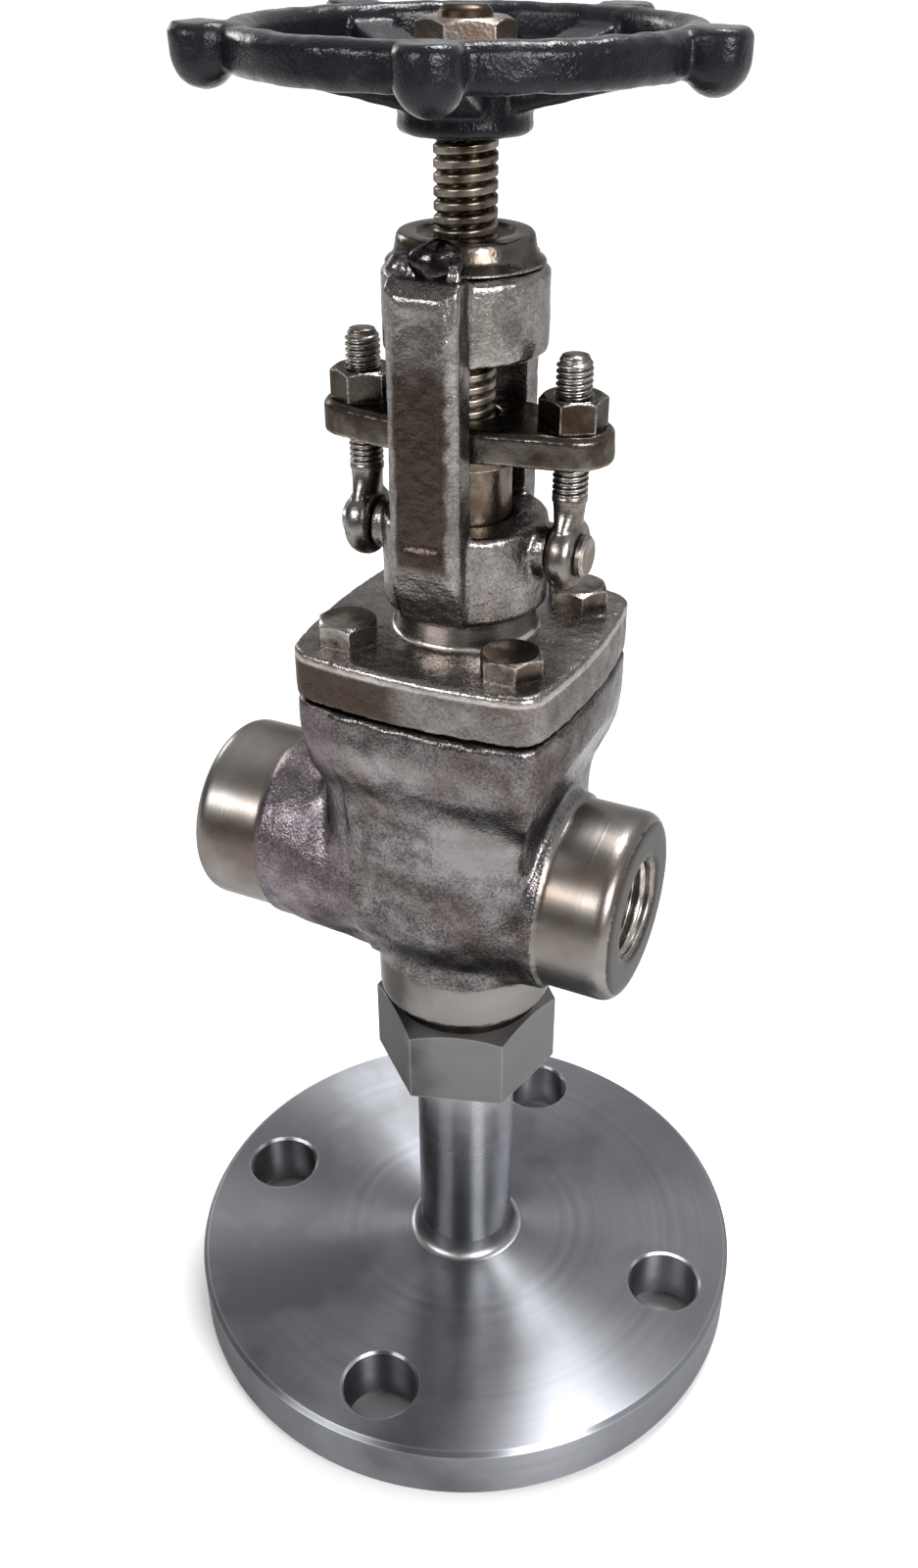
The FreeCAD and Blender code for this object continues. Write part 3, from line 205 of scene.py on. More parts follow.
def surface(name, points, material):
    """A mesh from a grid of points, one row after another, each row a closed ring."""
    rows, columns = points.shape[:2]
    index = np.arange(rows * columns).reshape(rows, columns)
    beside = np.roll(index, -1, axis=1)
    quads = np.stack([index[:-1], beside[:-1], beside[1:], index[1:]], axis=-1).reshape(-1, 4)
    mesh = bpy.data.meshes.new(name)
    mesh.from_pydata(points.reshape(-1, 3), [], quads)
    welded = bmesh.new()
    welded.from_mesh(mesh)
    bmesh.ops.remove_doubles(welded, verts=welded.verts, dist=1e-7)
    bmesh.ops.recalc_face_normals(welded, faces=welded.faces)
    welded.to_mesh(mesh)
    welded.free()
    mesh.shade_smooth()
    mesh.materials.append(material)
    made = bpy.data.objects.new(name, mesh)
    bpy.context.scene.collection.objects.link(made)
    return made


def lathe(radii, heights, turns):
    """Points of a profile turned round Z. The radii may differ along each ring."""
    angles = np.linspace(0, 2 * np.pi, turns, endpoint=False)
    rows = len(heights)
    radii = np.broadcast_to(np.asarray(radii, float).reshape(rows, -1), (rows, turns))
    heights = np.broadcast_to(np.asarray(heights, float).reshape(rows, -1), radii.shape)
    return np.stack([radii * np.cos(angles), radii * np.sin(angles), heights], axis=-1)


def mottled(name, roughness, first, second, scale, low, high, detail=3.0, **sockets):
    """A finish whose colour drifts from one to another where a cloud runs from low to high."""
    made, tree, shader = finish_of(name, first, roughness, **sockets)
    cloud = add(tree, "TexNoise", {"Vector": place_of(tree), "Scale": scale, "Detail": detail}).outputs[0]
    tree.links.new(tint(tree, spread(tree, cloud, low, high), (*first, 1), (*second, 1)),
                   shader.inputs["Base Color"])
    return made


weld_metal = mottled("weld_metal", 0.36, (0.19, 0.19, 0.195), (0.25, 0.25, 0.265), 260.0, 0.4, 0.65)

pipe_radius = 0.01065
flange_top = 0.0159
bead_leg = 0.0025
bead_rise = 0.0046
ripple_count, ripple_share, sway_share = 84, 0.006, 0.05
sunk, sunk_side = 0.0007, 0.0001
sweep = np.linspace(0, np.pi / 2, 9)[:, None]
turn = np.linspace(0, 2 * np.pi, 336, endpoint=False)[None, :]
ripple = 1 + ripple_share * np.cos(ripple_count * turn + 0.8 * np.sin(7 * turn))
ripple += sway_share * np.sin(3 * turn + 1)
bead_radii = pipe_radius + bead_leg * ripple * (1 - np.sin(sweep))
bead_heights = flange_top + bead_rise * ripple * (1 - np.cos(sweep))
toe_radius, toe_height = bead_radii[:1] + sunk, bead_heights[:1] - sunk_side
top_radius, top_height = bead_radii[-1:] - sunk_side, bead_heights[-1:] + sunk
foot = np.full((1, turn.size), flange_top - 0.001)
root = np.full((1, turn.size), pipe_radius - 0.0006)
bead_radii = np.vstack([root, toe_radius, toe_radius, bead_radii, top_radius, root, root])
bead_heights = np.vstack([foot, foot, toe_height, bead_heights, top_height, top_height, foot])
weld_bead = surface("weld_bead", lathe(bead_radii, bead_heights, turn.size), weld_metal)
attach(weld_bead, "valve_frame")
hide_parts("outer_weld")
dress("face_weld", weld_metal)


# The hexagon adapter is milled and turned from bar. Its spigot screws up into the valve, and
# the thread that shows in the gap still carries the brown sealing compound.
# Painted shade: the stain's colour darkens the hexagon strongly toward minus X.
milled_hexagon = machined("milled_hexagon", (0.13, 0.126, 0.124), 0.34, "z", 2200.0, 0.000012,
                          edge=0.0005, stain=(0.025, 0.023, 0.023), painted_shade_lean=26.0)
dress("hex_adapter", milled_hexagon)
sealant = mottled("sealant", 0.55, (0.045, 0.03, 0.02), (0.3, 0.26, 0.21), 420.0, 0.42, 0.62,
                  detail=4.0, metallic=0.2)


def thread_wave(turns_along, crest=0.27):
    """A thread's profile: 0 on the crest, 1 in the root, with straight flanks between. The crest
    takes its share of the pitch."""
    return np.clip((np.abs(2 * (turns_along % 1) - 1) - crest) * 2.2, 0, 1)


def thread_sleeve(name, low, high, crest, inner, depth, pitch, material):
    """A threaded sleeve. Its radius is the crest's less the depth times the wave of height over
    pitch less angle over a full turn, and its ends close on the inner radius."""
    rows_each_turn, turns = 12, 96
    heights = np.linspace(low, high, int((high - low) / pitch * rows_each_turn))[:, None]
    angles = np.linspace(0, 1, turns, endpoint=False)[None, :]
    core = np.full((1, turns), inner)
    foot, head = np.full((1, turns), low), np.full((1, turns), high)
    radii = np.vstack([core, crest - depth * thread_wave(heights / pitch - angles), core, core])
    heights = np.vstack([foot, heights + 0 * angles, head, foot])
    return surface(name, lathe(radii, heights, turns), material)


sealant_thread = thread_sleeve("sealant_thread", 0.0886, 0.0922, 0.01385, 0.0131, 0.0007, 0.00181,
                               sealant)
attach(sealant_thread, "valve_frame")


# The valve body is a stainless forging. Its skin is pebbled and dark from the furnace, with a
# step where the dies met, and only the ends, the neck and the joint face are machined bright.
def make_forged_skin():
    """A shader group: the pebbled height of a forging, its bright peaks and its brown film."""
    group, given = group_of("forged_skin", ["Place"], ["Height", "Peaks", "Film"], kind="Vector")
    place = given["Place"]
    pebbles = add(group, "TexNoise", {"Vector": place, "Scale": 1900.0, "Detail": 2.0,
                                      "Roughness": 0.6}).outputs[0]
    swell = add(group, "TexNoise", {"Vector": place, "Scale": 230.0, "Detail": 2.0}).outputs[0]
    pits = add(group, "TexVoronoi", {"Vector": place, "Scale": 620.0}).outputs["Distance"]
    film = add(group, "TexNoise", {"Vector": place, "Scale": 62.0, "Detail": 5.0,
                                   "Roughness": 0.65}).outputs[0]
    height = sum_of(group, "MULTIPLY_ADD", pebbles, 0.7, sum_of(group, "MULTIPLY", swell, 0.9))
    height = sum_of(group, "MULTIPLY_ADD", spread(group, pits, 0.0, 0.45), 0.08, height)
    peaks = sum_of(group, "MULTIPLY_ADD", pebbles, 0.55, sum_of(group, "MULTIPLY", swell, 0.45))
    add(group, "NodeGroupOutput", {"Height": height, "Peaks": spread(group, peaks, 0.4, 0.68),
                                   "Film": spread(group, film, 0.47, 0.66)})
    return group


forged_skin = make_forged_skin()


def forged(name, dark, bright, film, roughness, depth, film_share):
    """A forging's finish: dark metal with bright peaks, under a brown film in patches. A mesh may
    carry two numbers that it reads: one that lightens the metal as a painted highlight, and scale,
    which adds the film, as brown scale in places and as painted shade in others."""
    made, tree, shader = finish_of(name, dark, roughness)
    skin = add(tree, "Group", {"Place": place_of(tree)}, node_tree=forged_skin).outputs
    # The mesh's number read here lightens the metal: a painted highlight.
    wear_and_highlight = add(tree, "Attribute", attribute_name="wear_and_highlight").outputs["Fac"]
    peaks_and_highlight = sum_of(tree, "MULTIPLY_ADD", wear_and_highlight, 0.8, skin["Peaks"])
    metal = tint(tree, peaks_and_highlight, (*dark, 1), (*bright, 1))
    scale = add(tree, "Attribute", attribute_name="scale").outputs["Fac"]
    stained = sum_of(tree, "MAXIMUM", sum_of(tree, "MULTIPLY", skin["Film"], film_share),
                     sum_of(tree, "MULTIPLY", scale, 0.92))
    tree.links.new(tint(tree, stained, metal, (*film, 1)), shader.inputs["Base Color"])
    tree.links.new(spread(tree, skin["Peaks"], 0.0, 1.0, roughness * 1.15, roughness * 0.8),
                   shader.inputs["Roughness"])
    bump = add(tree, "Bump", {"Height": skin["Height"], "Distance": depth, "Strength": 1.0})
    tree.links.new(bump.outputs[0], shader.inputs["Normal"])
    return made


body_forging = forged("body_forging", (0.045, 0.041, 0.042), (0.19, 0.18, 0.18),
                      (0.05, 0.031, 0.021), 0.24, 0.0002, 0.55)
left_forging = forged("left_forging", (0.07, 0.058, 0.065), (0.2, 0.175, 0.188),
                      (0.07, 0.052, 0.05), 0.3, 0.00024, 0.5)
bored_end = machined("bored_end", (0.19, 0.18, 0.171), 0.29, "x", 2400.0, 0.00003,
                     stain=(0.085, 0.066, 0.053))
# The faced ends get a much darker base than the bores: painted shade on these side faces.
faced_end_painted_shade = machined("faced_end_painted_shade", (0.055, 0.052, 0.05), 0.3, "x", 2400.0, 0.000004, edge=0.0007)
# Painted shade: the stain's colour darkens the neck toward minus X.
turned_neck = machined("turned_neck", (0.16, 0.15, 0.14), 0.25, "z", 2600.0, 0.00001,
                       stain=(0.035, 0.03, 0.027), painted_shade_lean=20.0)


def grow_skin(made, voxel, rounds):
    """Turns an object into one closed skin of small squares, each point moved many times toward
    the mean of its neighbours, so that inner and outer corners run round as forged."""
    skin = made.modifiers.new("skin", "REMESH")
    skin.mode = "VOXEL"
    skin.voxel_size = voxel
    skin.use_smooth_shade = True
    ease = made.modifiers.new("ease", "SMOOTH")
    ease.factor = 0.5
    ease.iterations = rounds
    depsgraph = bpy.context.evaluated_depsgraph_get()
    eased = bpy.data.meshes.new_from_object(made.evaluated_get(depsgraph))
    made.modifiers.clear()
    made.data = eased


def soften(name, node_name, voxel, rounds, *finishes):
    """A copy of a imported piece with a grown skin, and with its finishes in their slots."""
    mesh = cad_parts[node_name].data.copy()
    welded = bmesh.new()
    welded.from_mesh(mesh)
    bmesh.ops.remove_doubles(welded, verts=welded.verts, dist=1e-6)
    welded.to_mesh(mesh)
    welded.free()
    made = bpy.data.objects.new(name, mesh)
    bpy.context.scene.collection.objects.link(made)
    grow_skin(made, voxel, rounds)
    made.data.materials.clear()
    for finish in finishes:
        made.data.materials.append(finish)
    return made


def waves(points, length, seed):
    """A smooth uneven field of about -1 to 1: many sine waves in random directions, summed."""
    draw = np.random.default_rng(seed)
    ways = draw.normal(size=(28, 3))
    ways /= np.linalg.norm(ways, axis=1, keepdims=True) * length * draw.uniform(0.6, 1.7, (28, 1))
    return np.sin(points @ ways.T * 2 * np.pi + draw.uniform(0, 2 * np.pi, 28)).sum(axis=1) / 6


def rows_of(items, what):
    """One vector of every vertex or face of a mesh, such as its place, as rows of an array."""
    numbers = np.zeros(len(items) * 3)
    items.foreach_get(what, numbers)
    return numbers.reshape(-1, 3)


def place_points(made, points):
    """Sets every vertex of a mesh to its row of the array."""
    made.data.vertices.foreach_set("co", points.ravel())
    made.data.update()


def push(made, distance):
    """Moves each point of a mesh along its normal."""
    corners = made.data.vertices
    place_points(made, rows_of(corners, "co") + rows_of(corners, "normal") * distance[:, None])


def melt(made, share, rounds):
    """Draws each point toward the mean of its neighbours, by the share given for it, many times
    over, so that the forging's corners and blends grow round where the share is 1."""
    points = rows_of(made.data.vertices, "co")
    edges = np.zeros(len(made.data.edges) * 2, np.int32)
    made.data.edges.foreach_get("vertices", edges)
    first, second = edges.reshape(-1, 2).T
    around = np.concatenate([first, second])
    beside = np.concatenate([second, first])
    number = np.bincount(around, minlength=len(points))[:, None]
    for _ in range(rounds):
        total = np.stack([np.bincount(around, column[beside], len(points)) for column in points.T],
                         axis=1)
        points += (total / number - points) * 0.5 * share[:, None]
    place_points(made, points)


def mark(made, name, values):
    """Keeps a number for each point of a mesh, for its material to read by name."""
    layer = made.data.attributes.new(name, "FLOAT", "POINT")
    layer.data.foreach_set("value", np.ascontiguousarray(values, np.float32))


def ramp(values, low, high):
    """0 below the low value and 1 above the high one, smooth between, for whole arrays."""
    share = np.clip((values - low) / (high - low), 0, 1)
    return share * share * (3 - 2 * share)


def patch_of(x, z, middle, reach):
    """A soft oval patch seen along Y: 1 in its middle, and about a third at its reach."""
    return np.exp(-((x - middle[0]) / reach[0]) ** 2 - ((z - middle[1]) / reach[1]) ** 2)


run_height = 0.1205
left_end, right_end = -0.0372, 0.0222
left_face, right_face = -0.0528, 0.0364
die_line = -0.0153
boss_radius, port_radius = 0.0207, 0.0102
socket_top, socket_radius = 0.1018, 0.0184
joint_low, joint_top = 0.1633, 0.1638
body_skin = soften("body_skin", "valve_body", 0.00062, 5, body_forging, bored_end, turned_neck,
                   left_forging, faced_end_painted_shade)
forged_part, bored_part, turned_part, left_part, faced_part = range(5)

port_wall, chamber_wall, chamber_low = 0.0112, 0.0168, 0.1
points = rows_of(body_skin.data.vertices, "co")
x, y, z = points.T
waist = ramp(z, 0.1025, 0.107) * (1 - ramp(z, 0.154, 0.159))
waist *= ramp(x, left_end, left_end + 0.006) * (1 - ramp(x, right_end - 0.004, right_end))
waist[np.hypot(y, z - run_height) < port_wall] = 0
waist[(np.hypot(x, y) < chamber_wall) & (z > chamber_low)] = 0

belly_reach, belly_swell, belly_high, belly_long = 0.0186, 0.0038, 0.0195, 0.027
neck_reach, neck_middle, neck_long, neck_power = 0.0214, -0.0006, 0.0268, 3.4
lip_reach, lip_flare = 0.014, 0.0122
block_low, block_flare, block_rim = 0.0219, 0.0025, 0.0013
above_run = z - run_height
run_radius = 0.022 - 0.0021 * ramp(x, 0.004, right_end)
barrel = np.sqrt(np.maximum(run_radius ** 2 - above_run ** 2, 0))
belly = belly_reach + belly_swell * np.sqrt(np.clip(1 - (above_run / belly_high) ** 2, 0, 1))
belly *= np.sqrt(np.clip(1 - (x / belly_long) ** 2, 0.1, 1))
neck = 1 - np.abs((x - neck_middle) / neck_long) ** neck_power
neck = neck_reach * np.clip(neck, 0, 1) ** (1 / neck_power)
lip = lip_reach + lip_flare * ramp(z, 0.136, 0.1555)
front = np.maximum(np.maximum(barrel, lip), np.where(above_run > 0, neck, belly))
block_half = block_low + block_flare * ramp(z, 0.105, 0.148) + block_rim * ramp(z, 0.15, 0.158)
in_block = waist * ramp(x + block_half, -0.0006, 0.0001)
y *= 1 + (np.minimum(front / block_half, 1) - 1) * in_block
place_points(body_skin, points)
melt(body_skin, waist, 90)

points = rows_of(body_skin.data.vertices, "co")
x, y, z = points.T
rough_part = ramp(x, left_end, left_end + 0.0012) * (1 - ramp(x, right_end - 0.001, right_end))
rough_part[(z < socket_top) & (np.hypot(x, y) < socket_radius)] = 0
rough_part[z > joint_low] = 0
pebble_high, grain_high, die_high = 0.00014, 0.00002, 0.0003
relief = pebble_high * waves(points, 0.007, 3) + grain_high * waves(points, 0.0024, 4)
die_step = die_high * (ramp(x, die_line - 0.0003, die_line + 0.0003) - 0.5)
push(body_skin, rough_part * (relief + die_step))
# The lower front gets more of the dark film: a brown tint, and painted shade on the underside.
low_side = (1 - ramp(z, 0.1, 0.113)) * ramp(x, -0.012, -0.002)
mark(body_skin, "scale", low_side * ramp(waves(points, 0.011, 5), -0.6, 0.5))
# Two patches painted lighter as highlights: on the barrel beside the right boss, and a line under the
# lip.
near_boss = patch_of(x, z, (0.0115, 0.1395), (0.0085, 0.0065))
under_lip = patch_of(x, z, (-0.002, 0.1555), (0.02, 0.0022))
mark(body_skin, "wear_and_highlight", 1.5 * near_boss + 0.9 * under_lip)

x, y, z = rows_of(body_skin.data.polygons, "center").T
from_run = np.hypot(y, z - run_height)
part_number = np.where(x < die_line, left_part, forged_part).astype(np.int32)
part_number[(x < left_end) | ((x > right_end) & (from_run < boss_radius))] = bored_part
part_number[(x < left_face) | (x > right_face)] = faced_part
part_number[from_run < port_radius] = bored_part
part_number[(z < socket_top) & (np.hypot(x, y) < socket_radius)] = turned_part
part_number[z > joint_top] = turned_part
body_skin.data.polygons.foreach_set("material_index", part_number)
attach(body_skin, "valve_frame")
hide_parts("valve_body")

for node_name in ("seat_ring", "disc", "disc_retainer"):
    dress(node_name, turned_neck)


# The pipe threads in the two side ports are cut with a taper tap. Each is one helical ridge
# that lines the bore just behind its bevelled mouth.
def port_thread(name, mouth, inward):
    """A lining of the bore: its inner radius is the bore's less the thread's height, which
    follows a wave of depth over pitch less angle over a full turn."""
    pitch, bore, height, turns = 0.001814, 0.00955, 0.0009, 96
    first, last, lead = 0.0008, 0.0165, 0.0027
    depths = np.linspace(first, last, 110)[:, None]
    angles = np.linspace(0, 1, turns, endpoint=False)[None, :]
    fade = ramp(depths, first, first + lead)
    radii = bore - height * (1 - thread_wave(depths / pitch - angles)) * fade
    around = 2 * np.pi * angles
    rows = np.stack([mouth + inward * depths + 0 * angles, radii * np.cos(around),
                     run_height + radii * np.sin(around)], axis=-1)
    outer = bore + 0.0001 + 0 * depths[:2]
    shell = np.stack([mouth + inward * depths[[-1, 0]] + 0 * angles, outer * np.cos(around),
                      run_height + outer * np.sin(around)], axis=-1)
    made = surface(name, np.concatenate([rows, shell, rows[:1]]), tapped_steel)
    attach(made, "valve_frame")


tapped_steel = mottled("tapped_steel", 0.3, (0.5, 0.47, 0.44), (0.2, 0.17, 0.15), 300.0, 0.4, 0.7)
port_thread("left_port_thread", -0.0532, 1)
port_thread("right_port_thread", 0.0368, -1)


# The bonnet and yoke are one forging: a square flange, a stuffing box with two bosses, and two
# arms that carry the ring at the top. Its skin is stained brown. The ring is a lighter copy of
# the forging, part satin from handling and part painted highlight; the flange's top is a
# lighter copy as a painted highlight, and the flange's sides carry painted shade.
yoke_forging = forged("yoke_forging", (0.12, 0.108, 0.106), (0.25, 0.235, 0.224),
                      (0.034, 0.023, 0.017), 0.26, 0.00018, 0.35)
# A lighter copy of the forging for the ring: part satin from handling, part painted highlight.
handled_and_highlit_forging = forged("handled_and_highlit_forging", (0.15, 0.139, 0.129), (0.29, 0.273, 0.256),
                        (0.1, 0.076, 0.06), 0.24, 0.00011, 0.5)
# A lighter copy of the forging for the flange's top: a painted highlight.
painted_highlight_top = forged("painted_highlight_top", (0.27, 0.247, 0.225), (0.42, 0.395, 0.365),
                    (0.13, 0.1, 0.078), 0.26, 0.00008, 0.6)
joint_neck = machined("joint_neck", (0.5, 0.46, 0.42), 0.26, "z", 2600.0, 0.00001,
                      stain=(0.16, 0.125, 0.1))
bonnet_skin = soften("bonnet_skin", "bonnet_yoke", 0.00043, 5, yoke_forging, joint_neck,
                     handled_and_highlit_forging, painted_highlight_top)
skin_part, neck_part, ring_part, top_part = range(4)

joint_end, neck_end, neck_radius = 0.1636, 0.1792, 0.0132
top_low, top_high, ring_low, ring_side = 0.1722, 0.1735, 0.2205, 0.0052
points = rows_of(bonnet_skin.data.vertices, "co")
x, y, z = points.T
from_axis = np.hypot(x, y)
turned = (z < neck_end) & (z > 0.173) & (from_axis < neck_radius)
rough_part = np.where(turned | (z < joint_end), 0.0, 1.0)
box_bore, bore_low, bore_high = 0.00835, 0.1757, 0.1995
rough_part[from_axis < box_bore + 0.00045] = 0
relief = 0.00006 * waves(points, 0.005, 7) + 0.00003 * waves(points, 0.0017, 8)
push(bonnet_skin, rough_part * relief)

points = rows_of(bonnet_skin.data.vertices, "co")
x, y, z = points.T
normals = rows_of(bonnet_skin.data.vertices, "normal")
bore_wall = (from_axis > 0.0074) & (from_axis < box_bore) & (z > bore_low) & (z < bore_high)
points[bore_wall, :2] *= (box_bore / from_axis[bore_wall])[:, None]
place_points(bonnet_skin, points)

panel_half, panel_low, panel_deep = 0.0043, 0.1885, 0.00012
panel_top = 0.2312 - 0.0035 * (x / 0.0045) ** 2
panel = 1 - ramp(np.abs(x) + 0.0004 * waves(points, 0.004, 9), panel_half, panel_half + 0.0007)
panel *= ramp(np.abs(y), 0.0150, 0.0165) * (1 - ramp(z, panel_top - 0.0012, panel_top))
panel *= ramp(z, panel_low, panel_low + 0.003)
push(bonnet_skin, panel * (0.00004 * waves(points, 0.0021, 10) - panel_deep))
panel *= 0.4 + 0.6 * (1 - ramp(z + 0.0015 * waves(points, 0.006, 13), 0.2195, 0.2265))
# The flange's sides get more of the dark film, most toward minus X: painted shade.
flange_side = (z < 0.172) * ramp(-np.abs(normals[:, 2]), -0.7, -0.3)
flange_side *= 0.3 + 0.7 * ramp(0.6 * waves(points, 0.016, 12) - 45 * x, -0.9, 0.5)
mark(bonnet_skin, "scale", np.maximum(panel, flange_side))

x, y, z = rows_of(bonnet_skin.data.polygons, "center").T
on_ring = (z > ring_low) & (np.abs(x) > ring_side)
part_number = np.where(on_ring, ring_part, skin_part).astype(np.int32)
part_number[(z > top_low) & (z < top_high)] = top_part
on_neck = (z < neck_end) & (z > 0.1728) & (np.hypot(x, y) < neck_radius + 0.0002)
part_number[on_neck] = neck_part
part_number[z < joint_end] = neck_part
bonnet_skin.data.polygons.foreach_set("material_index", part_number)
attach(bonnet_skin, "valve_frame")
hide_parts("bonnet_yoke")


# The joint between body and bonnet holds a wound gasket, and four hexagon bolts clamp it. The
# bolt heads are cold-formed, dull brown on the flats and lighter along their corners: bare metal
# from handling, with a painted highlight there too.
dress("bonnet_gasket", finish_of("wound_gasket", (0.25, 0.24, 0.23), 0.5)[0])


def browned(name, metal, film, roughness, edge, scale=150.0):
    """Fastener steel under an oily brown film. Its corners are lighter: bare metal from handling, and a
    painted highlight.
    """
    made, tree, shader = finish_of(name, metal, roughness)
    point = place_of(tree)
    patch = add(tree, "TexNoise", {"Vector": point, "Scale": scale, "Detail": 5.0,
                                   "Roughness": 0.6}).outputs[0]
    grain = add(tree, "TexNoise", {"Vector": point, "Scale": 1800.0, "Detail": 2.0}).outputs[0]
    coated = tint(tree, spread(tree, patch, 0.42, 0.6), (*metal, 1), (*film, 1))
    # Corners are painted lighter: wear, and a painted highlight along the edge.
    wear_and_highlight = add(tree, "Group", {"Width": edge}, node_tree=worn_and_highlit_edges).outputs[0]
    shine = sum_of(tree, "MULTIPLY", wear_and_highlight, spread(tree, grain, 0.3, 0.6))
    tree.links.new(tint(tree, shine, coated, (0.5, 0.48, 0.455, 1)), shader.inputs["Base Color"])
    tree.links.new(spread(tree, patch, 0.35, 0.65, roughness * 0.8, roughness * 1.4),
                   shader.inputs["Roughness"])
    bump = add(tree, "Bump", {"Height": grain, "Distance": 0.00006, "Strength": 0.7})
    tree.links.new(bump.outputs[0], shader.inputs["Normal"])
    return made


bolt_steel = browned("bolt_steel", (0.2, 0.187, 0.172), (0.07, 0.053, 0.042), 0.22, 0.0006)
dress("bonnet_bolts", bolt_steel)


# The packing and its gland: graphite rings under a steel follower, pressed by an oval plate
# with a satin top, a rounded rim and two holes for the eyebolts.
dress("packing_rings", finish_of("graphite", (0.05, 0.05, 0.055), 0.5, metallic=0.0)[0])
follower_steel = browned("follower_steel", (0.13, 0.108, 0.086), (0.07, 0.05, 0.034), 0.26, 0.0004)
for node_name in ("gland_follower", "packing_washer", "backseat_bush"):
    dress(node_name, follower_steel)
gland_plate_steel = browned("gland_plate_steel", (0.08, 0.07, 0.06), (0.04, 0.028, 0.021), 0.24,
                            0.0009)
gland_plate = soften("gland_plate", "gland_flange", 0.00034, 6, gland_plate_steel)
push(gland_plate, 0.00006 * waves(rows_of(gland_plate.data.vertices, "co"), 0.004, 11))
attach(gland_plate, "gland")
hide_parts("gland_flange")


# Each eyebolt is forged with a flat eye that hangs on a rivet in the box's boss. The eye runs
# smoothly into a round shank, threaded for its nut from just under the gland plate.
eyebolt_steel = browned("eyebolt_steel", (0.18, 0.17, 0.16), (0.08, 0.062, 0.05), 0.27, 0.0005)
rivet_steel = browned("rivet_steel", (0.3, 0.292, 0.285), (0.18, 0.155, 0.13), 0.3, 0.0004)
eye_height = 0.1903
eye_out = 0.0191


def eye_forging(name, node_name, side):
    """The eye is a disc with rounded rims about X, and the shank under the thread a tube whose
    half widths run from the eye's to the thread's root. A fine skin joins them."""
    rim = np.linspace(-np.pi / 2, np.pi / 2, 9)
    half, outer, hole, rounding = 0.00235, 0.0064, 0.0026, 0.0016
    profile_radius = np.concatenate([[hole], outer - rounding * (1 - np.cos(rim)), [hole, hole]])
    profile_along = np.concatenate([[-half], half * np.sin(rim), [half, -half]])
    disc = lathe(profile_radius, profile_along, 64)
    disc = np.stack([disc[..., 2], disc[..., 0], disc[..., 1]], axis=-1)
    disc += (side * eye_out, 0, eye_height)
    shank_start, shank_long, shank_radius = 0.0035, 0.0072, 0.0029
    thin, wide = 0.0021, 0.0045
    rise = np.linspace(0, 1, 14)[:, None]
    angles = np.linspace(0, 2 * np.pi, 32, endpoint=False)[None, :]
    half_x = thin + (shank_radius - thin) * ramp(rise, 0.0, 1.0)
    half_y = wide + (shank_radius - wide) * ramp(rise, 0.05, 0.75)
    level = eye_height + shank_start + shank_long * rise
    shank = np.stack([side * eye_out + half_x * np.cos(angles), half_y * np.sin(angles),
                      level + 0 * angles], axis=-1)
    centre = np.array([[side * eye_out, 0.0, 0.0]]) + 0 * shank[0]
    foot, top = centre.copy(), centre.copy()
    foot[:, 2], top[:, 2] = level[0, 0], level[-1, 0]
    body = surface(name, disc, eyebolt_steel)
    neck = surface(name + "_neck", np.concatenate([foot[None], shank, top[None]]), eyebolt_steel)
    joined = bmesh.new()
    joined.from_mesh(body.data)
    joined.from_mesh(neck.data)
    joined.to_mesh(body.data)
    joined.free()
    bpy.data.objects.remove(neck)
    grow_skin(body, 0.00024, 5)
    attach(body, "valve_frame")
    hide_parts(node_name)


def eye_thread(name, side):
    """The M6 thread: crest radius 3 mm, a wave 0.55 mm deep, and a rounded end."""
    low, high, pitch, turns = eye_height + 0.0095, 0.2236, 0.001, 48
    crest_radius, rounding = 0.003, 0.0009
    heights = np.linspace(low, high, 300)[:, None]
    angles = np.linspace(0, 1, turns, endpoint=False)[None, :]
    crest = crest_radius - rounding * ramp(heights, high - 0.0016, high + 0.0003)
    depth = 0.00055 * ramp(heights, low + 0.0006, low + 0.002)
    depth *= 1 - ramp(heights, high - 0.0014, high - 0.0004)
    radii = crest - depth * thread_wave(heights / pitch - angles)
    core = np.zeros((1, turns))
    points = lathe(np.vstack([core, radii, core]),
                   np.vstack([core + low, heights + core, core + high + 0.0001]), turns)
    made = surface(name, points + (side * eye_out, 0, 0), eyebolt_steel)
    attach(made, "valve_frame")


for word, side in (("right", 1), ("left", -1)):
    eye_forging(f"eyebolt_{word}_forging", f"eyebolt_{word}", side)
    eye_thread(f"eyebolt_{word}_thread", side)
    dress(f"eyebolt_pin_{word}", rivet_steel)


# Two hexagon nuts on the eyebolts press the gland plate. They are plain steel under a brown
# film, with turned crowns and flats that wear through at the corners, where a highlight is
# also painted on.
gland_nut_steel = browned("gland_nut_steel", (0.055, 0.047, 0.04), (0.028, 0.018, 0.012), 0.25, 0.0005)
dress("gland_nut_right", gland_nut_steel)
dress("gland_nut_left", gland_nut_steel)


# The yoke bush is a turned sleeve with a collar, pressed into the ring and locked by a small
# grub screw. A dark tack weld in front holds its collar to the yoke.
bush_steel = browned("bush_steel", (0.1, 0.088, 0.076), (0.035, 0.026, 0.02), 0.22, 0.0006,
                     scale=110.0)
bush_low, bush_bore = 0.2215, 0.00506
bush_profile = [(bush_bore, bush_low), (0.008, bush_low), (0.008, 0.2361), (0.0129, 0.2361),
                (0.0125, 0.2366), (0.0117, 0.2372), (0.0113, 0.238), (0.0111, 0.2392),
                (0.0109, 0.2401), (0.0105, 0.2406), (0.0079, 0.2406), (0.0074, 0.24),
                (0.0063, 0.2399), (bush_bore, 0.2394), (bush_bore, bush_low)]
bush_collar = surface("bush_collar", lathe(*zip(*bush_profile), 96), bush_steel)
corners = bush_collar.modifiers.new("corners", "BEVEL")
corners.width = 0.00018
corners.segments = 2
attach(bush_collar, "valve_frame")
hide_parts("yoke_bush")
